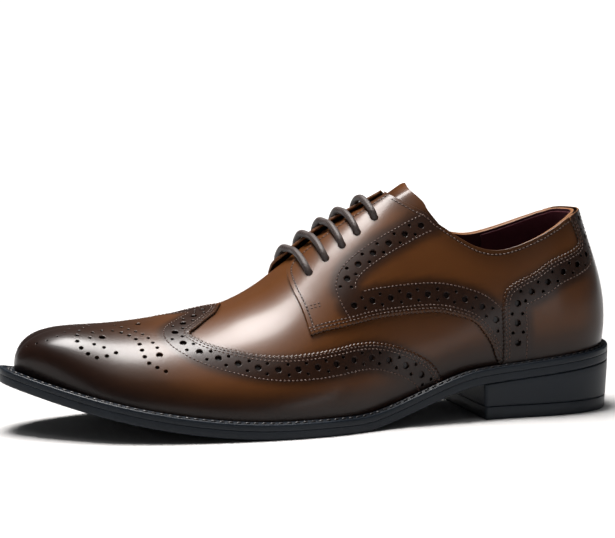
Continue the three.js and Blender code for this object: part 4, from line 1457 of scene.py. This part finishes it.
def build_welt(settings):
    """The welt: a rounded lip, a stitched groove and the flat that runs under the upper."""
    kit = materials_of(settings)
    bottom = OUTSOLE + 0.05
    top = FEATHER_RISE - GAP
    profile = [(0.12, 0, bottom), (0.0, 0, bottom + 0.12), (0.0, 0, bottom + 0.8),
               (0.0, 0, top - 0.6), (0.15, 0, top), (0.5, 0, top + 0.3), (0.95, 0, top + 0.38),
               (1.4, 0, top + 0.25), (1.75, 0, top - 0.25), (2.1, 0, top - 0.4),
               (2.5, 0, top - 0.2), (0.3, 0.5, top + 0.25),
               (-2.1, 1, top + 0.7), (-1.8, 1, top + 0.75), (-1.65, 1, top + 0.5), (-1.65, 1, top),
               (5.5, 0.9, top), (5.5, 0.9, bottom)]
    made = ring_sweep("welt_lipped", profile, [kit["welt"]])
    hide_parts("welt")
    u = np.linspace(0, TURN, 1200, endpoint=False)
    foot, _ = outline(u, 0.3, 0.48)
    line = np.concatenate([foot, (sole_height(foot[:, 0]) + top + 0.35)[:, None]], -1)
    run = np.concatenate([[0], np.cumsum(np.linalg.norm(np.diff(line, axis=0), axis=1))])
    stops = np.arange(0, run[-1], WELT_STITCH_PITCH)
    p = np.stack([np.interp(stops, run, line[:, k]) for k in range(3)], -1)
    along = unit(np.gradient(p, axis=0))
    up = unit(np.array([0.0, 0.0, 1.0]) - along * along[:, 2:3])
    lean = unit(np.cross(up, along)) * WELT_STITCH_LEAN
    verts, faces = capsules(p, unit(along + lean), up, WELT_STITCH_LENGTH, WELT_STITCH_RADIUS)
    sewn = new_object("welt_stitching", np.array(verts), faces, [kit["welt_thread"]])


def capped_plate(name, profile, materials, count=240, bands=10):
    """A plate that follows the sole: a side profile, closed below and above by a woven grid."""
    half = count // 2
    u = np.linspace(0, TURN, count, endpoint=False)
    rows = []
    for inset, share, height in profile:
        foot, _ = outline(u, inset, share)
        rows.append(np.concatenate([foot, (sole_height(foot[:, 0]) + height)[:, None]], -1))
    verts = list(np.concatenate(rows))
    faces = []
    for j in range(len(profile) - 1):
        for i in range(count):
            n = (i + 1) % count
            faces.append((j * count + i, j * count + n, (j + 1) * count + n, (j + 1) * count + i))
    for level, upward in ((0, False), (len(profile) - 1, True)):
        grid = {}
        height = profile[level][2]
        for i in range(half + 1):
            lateral, medial = level * count + i, level * count + (count - i) % count
            for k in range(bands + 1):
                if lateral == medial or k == 0:
                    grid[i, k] = lateral
                elif k == bands:
                    grid[i, k] = medial
                else:
                    p = verts[lateral] + (verts[medial] - verts[lateral]) * (k / bands)
                    grid[i, k] = len(verts)
                    verts.append(np.array([p[0], p[1], float(sole_height(p[0])) + height]))
        for i in range(half):
            for k in range(bands):
                ring = [grid[i, k], grid[i, k + 1], grid[i + 1, k + 1], grid[i + 1, k]]
                ring = list(dict.fromkeys(ring if upward else ring[::-1]))
                if len(ring) > 2:
                    faces.append(tuple(ring))
    return new_object(name, np.array(verts), faces, materials)


def build_outsole(settings):
    """The outsole with its softened edges."""
    kit = materials_of(settings)
    profile = [(2.0, 0, 0.0), (0.7, 0, 0.05), (0.25, 0, 0.25), (0.04, 0, 0.7), (0, 0, 1.2),
               (0, 0, OUTSOLE - 0.3), (0.04, 0, OUTSOLE - 0.08), (0.14, 0, OUTSOLE),
               (2.0, 0, OUTSOLE)]
    made = capped_plate("outsole_rounded", profile, [kit["rubber"]])
    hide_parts("outsole")


def heel_stack_piece(name, levels, materials):
    """Part of the heel: the sole's outline behind the breast, in levels of inset and height."""
    u = np.linspace(0, TURN, 720, endpoint=False)
    rows = []
    count = 260
    for inset, height in levels:
        foot, _ = outline(u, inset)
        breast = HEEL_LENGTH - inset
        lateral = foot[(foot[:, 0] < breast) & (u <= LAST)]
        medial = foot[(foot[:, 0] < breast) & (u > LAST)]
        corners = [(breast, lateral[-1, 1] - 0.5), (breast, medial[0, 1] + 0.5)]
        ring = np.concatenate([lateral, corners, medial])
        closed = np.concatenate([ring, ring[:1]])
        run = np.concatenate([[0], np.cumsum(np.linalg.norm(np.diff(closed, axis=0), axis=1))])
        stops = np.linspace(0, run[-1], count, endpoint=False)
        ring = np.stack([np.interp(stops, run, closed[:, k]) for k in range(2)], -1)
        rows.append(np.concatenate([ring, height(ring[:, 0])[:, None]], -1))
    verts = np.concatenate(rows)
    on_breast = verts[:, 0] > HEEL_LENGTH - 2.6
    faces, kinds = [], []
    for j in range(len(levels) - 1):
        for i in range(count):
            a, b = j * count + i, j * count + (i + 1) % count
            faces.append((a, b, b + count, a + count))
            kinds.append(1 if on_breast[a] and on_breast[b] else 0)
    faces.append(tuple(range(count))[::-1])
    faces.append(tuple(range((len(levels) - 1) * count, len(levels) * count)))
    kinds += [0, 0]
    return new_object(name, verts, faces, materials, kinds)


def build_heel(settings):
    """The heel block and its top lift, parted by a fine line, with a rough breast."""
    kit = materials_of(settings)
    flat = [(HEEL_TAPER + 0.5, 0.0), (HEEL_TAPER + 0.1, 0.35), (HEEL_TAPER, 1.0),
            (HEEL_TAPER * 0.8, TOP_LIFT - 0.5), (HEEL_TAPER * 0.8 + 0.15, TOP_LIFT - 0.1)]
    levels = [(inset, lambda x, z=z: np.full(np.shape(x), z)) for inset, z in flat]
    lift = heel_stack_piece("top_lift_rubber", levels, [kit["rubber"], kit["breast"]])
    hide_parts("top_lift")
    bottom = TOP_LIFT + 0.05
    levels = []
    for share, extra in ((0.0, 0.30), (0.02, 0.05), (0.06, 0.0), (0.30, 0.0), (0.55, 0.0),
                         (0.8, 0.0), (0.96, 0.0), (0.985, 0.1), (1.0, 0.35)):
        def height(x, share=share):
            return bottom + (HEEL_BACK_HEIGHT + SEAT_SLOPE * np.asarray(x) - 0.08 - bottom) * share
        levels.append((HEEL_TAPER * 0.7 * (1 - share) + extra, height))
    block = heel_stack_piece("heel_block_inked", levels, [kit["rubber"], kit["breast"]])
    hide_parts("heel_block")


def build_insole(settings):
    """The sock lining over the insole board."""
    kit = materials_of(settings)
    inset = 0.25 - UPPER_INNER
    low = OUTSOLE + GAP
    high = low + INSOLE
    profile = [(inset, 1, low), (inset, 1, high - 0.5), (inset + 0.5, 1, high),
               (inset + 3, 1, high)]
    made = capped_plate("sock_lining", profile, [kit["lining"]])
    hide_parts("insole")


def build_heel_lining(settings):
    """The suede heel grip inside the back, which ends at a seam beside the ankle."""
    kit = materials_of(settings)
    u = np.linspace(-GRIP_END, GRIP_END, 110)
    top = top_rise(u, 1.2)
    down = np.linspace(top[0], GRIP_LOW, 22)[1:-1]
    up = np.linspace(GRIP_LOW, top[-1], 22)[1:-1]
    border = [
        (np.stack([u, top], -1)[::-1], True),
        (np.stack([np.full(20, -GRIP_END), down], -1), True),
        (np.stack([u, np.full(110, GRIP_LOW)], -1), True),
        (np.stack([np.full(20, GRIP_END), up], -1), True),
    ]
    made = leather_sheet("heel_grip_suede", around, border, UPPER_INNER - 0.05, UPPER_INNER - 0.65,
                         [kit["suede"], kit["suede"], kit["lining"]])


# Camera: it stands off the outer side, a little to the toe, and looks slightly down.
CAMERA_TURN = 17.25
CAMERA_UP = 7.6
CAMERA_AWAY = 1.300
CAMERA_AIM = (0.11469, -0.00565, 0.07187)
PIXELS_PER_RADIAN = 2691.0
PHOTO_WIDTH = 615.0
SENSOR = 36.0
FLOOR_SIZE = 60.0

# Softboxes: name, place, aim, size, power in watts and colour. The first makes the highlights
# on toe, vamp and facing; the second only lifts the black of the sole's side.
SOFTBOXES = [
    ("key_softbox", (0.28, -0.20, 1.40), (0.12, 0.0, 0.05), (0.76, 0.60), 56, (1.0, 0.97, 0.95)),
    ("low_fill", (-0.45, 1.15, 0.10), (0.02, 0.0, 0.02), (0.5, 0.15), 0.7, (0.94, 0.97, 1.0)),
]
OVERHEAD_TOWARDS = (-0.10, -0.18, -1.0)
OVERHEAD_ANGLE = 50
OVERHEAD_STRENGTH = 0.6
ROOM_STRENGTH = 0.08


def area_light(name, place, aim, size, power, colour):
    lamp = bpy.data.lights.new(name, "AREA")
    lamp.shape = "RECTANGLE"
    lamp.size, lamp.size_y = size
    lamp.energy = power
    lamp.color = colour
    made = bpy.data.objects.new(name, lamp)
    made.location = place
    made.rotation_euler = (Vector(aim) - Vector(place)).to_track_quat("-Z", "Y").to_euler()
    bpy.context.scene.collection.objects.link(made)
    return made


def build_stage():
    """Pale floor, soft lights and the camera at the photograph's angle."""
    count = 8
    verts = [((i / count - 0.5) * FLOOR_SIZE, (j / count - 0.5) * FLOOR_SIZE, 0.0)
             for j in range(count + 1) for i in range(count + 1)]
    row = count + 1
    faces = [(j * row + i, j * row + i + 1, (j + 1) * row + i + 1, (j + 1) * row + i)
             for j in range(count) for i in range(count)]
    mesh = bpy.data.meshes.new("floor")
    mesh.from_pydata(verts, [], faces)
    mesh.materials.append(pale_floor())
    floor = bpy.data.objects.new("floor", mesh)
    bpy.context.scene.collection.objects.link(floor)
    turn, up = math.radians(CAMERA_TURN), math.radians(CAMERA_UP)
    back = Vector((math.sin(turn) * math.cos(up), math.cos(turn) * math.cos(up), math.sin(up)))
    lens = bpy.data.cameras.new("camera")
    lens.sensor_width = SENSOR
    lens.lens = PIXELS_PER_RADIAN * SENSOR / PHOTO_WIDTH
    lens.clip_start, lens.clip_end = 0.05, 60
    camera = bpy.data.objects.new("camera", lens)
    camera.location = Vector(CAMERA_AIM) + back * CAMERA_AWAY
    camera.rotation_euler = (-back).to_track_quat("-Z", "Y").to_euler()
    bpy.context.scene.collection.objects.link(camera)
    bpy.context.scene.camera = camera
    world = bpy.data.worlds.new("studio")
    world.use_nodes = True
    background = world.node_tree.nodes["Background"]
    background.inputs["Color"].default_value = (1, 1, 1, 1)
    background.inputs["Strength"].default_value = ROOM_STRENGTH
    bpy.context.scene.world = world
    for softbox in SOFTBOXES:
        area_light(*softbox)
    sky = bpy.data.lights.new("overhead", "SUN")
    sky.angle = math.radians(OVERHEAD_ANGLE)
    sky.energy = OVERHEAD_STRENGTH
    high = bpy.data.objects.new("overhead", sky)
    high.rotation_euler = Vector(OVERHEAD_TOWARDS).to_track_quat("-Z", "Y").to_euler()
    bpy.context.scene.collection.objects.link(high)
    bpy.context.scene.view_settings.view_transform = "Standard"


class ShoeOperator:
    bl_options = {"REGISTER", "UNDO"}

    def execute(self, context):
        self.make(context.scene.shoe)
        return {"FINISHED"}


class SHOE_OT_stage(ShoeOperator, bpy.types.Operator):
    """Adds the floor, the lights and the camera"""
    bl_idname = "shoe.stage"
    bl_label = "Stage"

    def make(self, settings):
        build_stage()


class SHOE_OT_sole(ShoeOperator, bpy.types.Operator):
    """Builds the outsole, the welt, the heel and the sock lining"""
    bl_idname = "shoe.sole"
    bl_label = "Sole and heel"

    def make(self, settings):
        build_outsole(settings)
        build_welt(settings)
        build_heel(settings)
        build_insole(settings)


class SHOE_OT_upper(ShoeOperator, bpy.types.Operator):
    """Builds the vamp with its lining, the tongue and the heel grip"""
    bl_idname = "shoe.upper"
    bl_label = "Upper and tongue"

    def make(self, settings):
        build_upper(settings)
        build_tongue(settings)
        build_heel_lining(settings)


class SHOE_OT_overlays(ShoeOperator, bpy.types.Operator):
    """Builds the wing cap, the quarters and the counter with their punched bands"""
    bl_idname = "shoe.overlays"
    bl_label = "Overlays"

    def make(self, settings):
        build_wing_cap(settings)
        build_quarter(settings, False)
        build_quarter(settings, True)
        build_counter(settings)


class SHOE_OT_stitching(ShoeOperator, bpy.types.Operator):
    """Sews every row of the upper"""
    bl_idname = "shoe.stitching"
    bl_label = "Stitching"

    def make(self, settings):
        build_stitching(settings)


class SHOE_OT_laces(ShoeOperator, bpy.types.Operator):
    """Lays the five bars of lace through the eyelets"""
    bl_idname = "shoe.laces"
    bl_label = "Laces"

    def make(self, settings):
        build_laces(settings)


class SHOE_PT_panel(bpy.types.Panel):
    """Lists the shoe's pieces and its sizes and colours"""
    bl_idname = "SHOE_PT_panel"
    bl_label = "Brogue derby shoe"
    bl_space_type = "VIEW_3D"
    bl_region_type = "UI"
    bl_category = "Shoe"

    def draw(self, context):
        for operator in OPERATORS:
            self.layout.operator(operator.bl_idname)
        for name in ShoeSettings.__annotations__:
            self.layout.prop(context.scene.shoe, name)


OPERATORS = (SHOE_OT_stage, SHOE_OT_sole, SHOE_OT_upper, SHOE_OT_overlays, SHOE_OT_stitching,
             SHOE_OT_laces)


def register():
    bpy.utils.register_class(ShoeSettings)
    for operator in OPERATORS:
        bpy.utils.register_class(operator)
    bpy.utils.register_class(SHOE_PT_panel)
    bpy.types.Scene.shoe = PointerProperty(type=ShoeSettings)


def unregister():
    del bpy.types.Scene.shoe
    bpy.utils.unregister_class(SHOE_PT_panel)
    for operator in reversed(OPERATORS):
        bpy.utils.unregister_class(operator)
    bpy.utils.unregister_class(ShoeSettings)


def main():
    register()
    bpy.ops.shoe.stage()
    bpy.ops.shoe.sole()
    bpy.ops.shoe.upper()
    bpy.ops.shoe.overlays()
    bpy.ops.shoe.stitching()
    bpy.ops.shoe.laces()


if __name__ == "__main__":
    main()
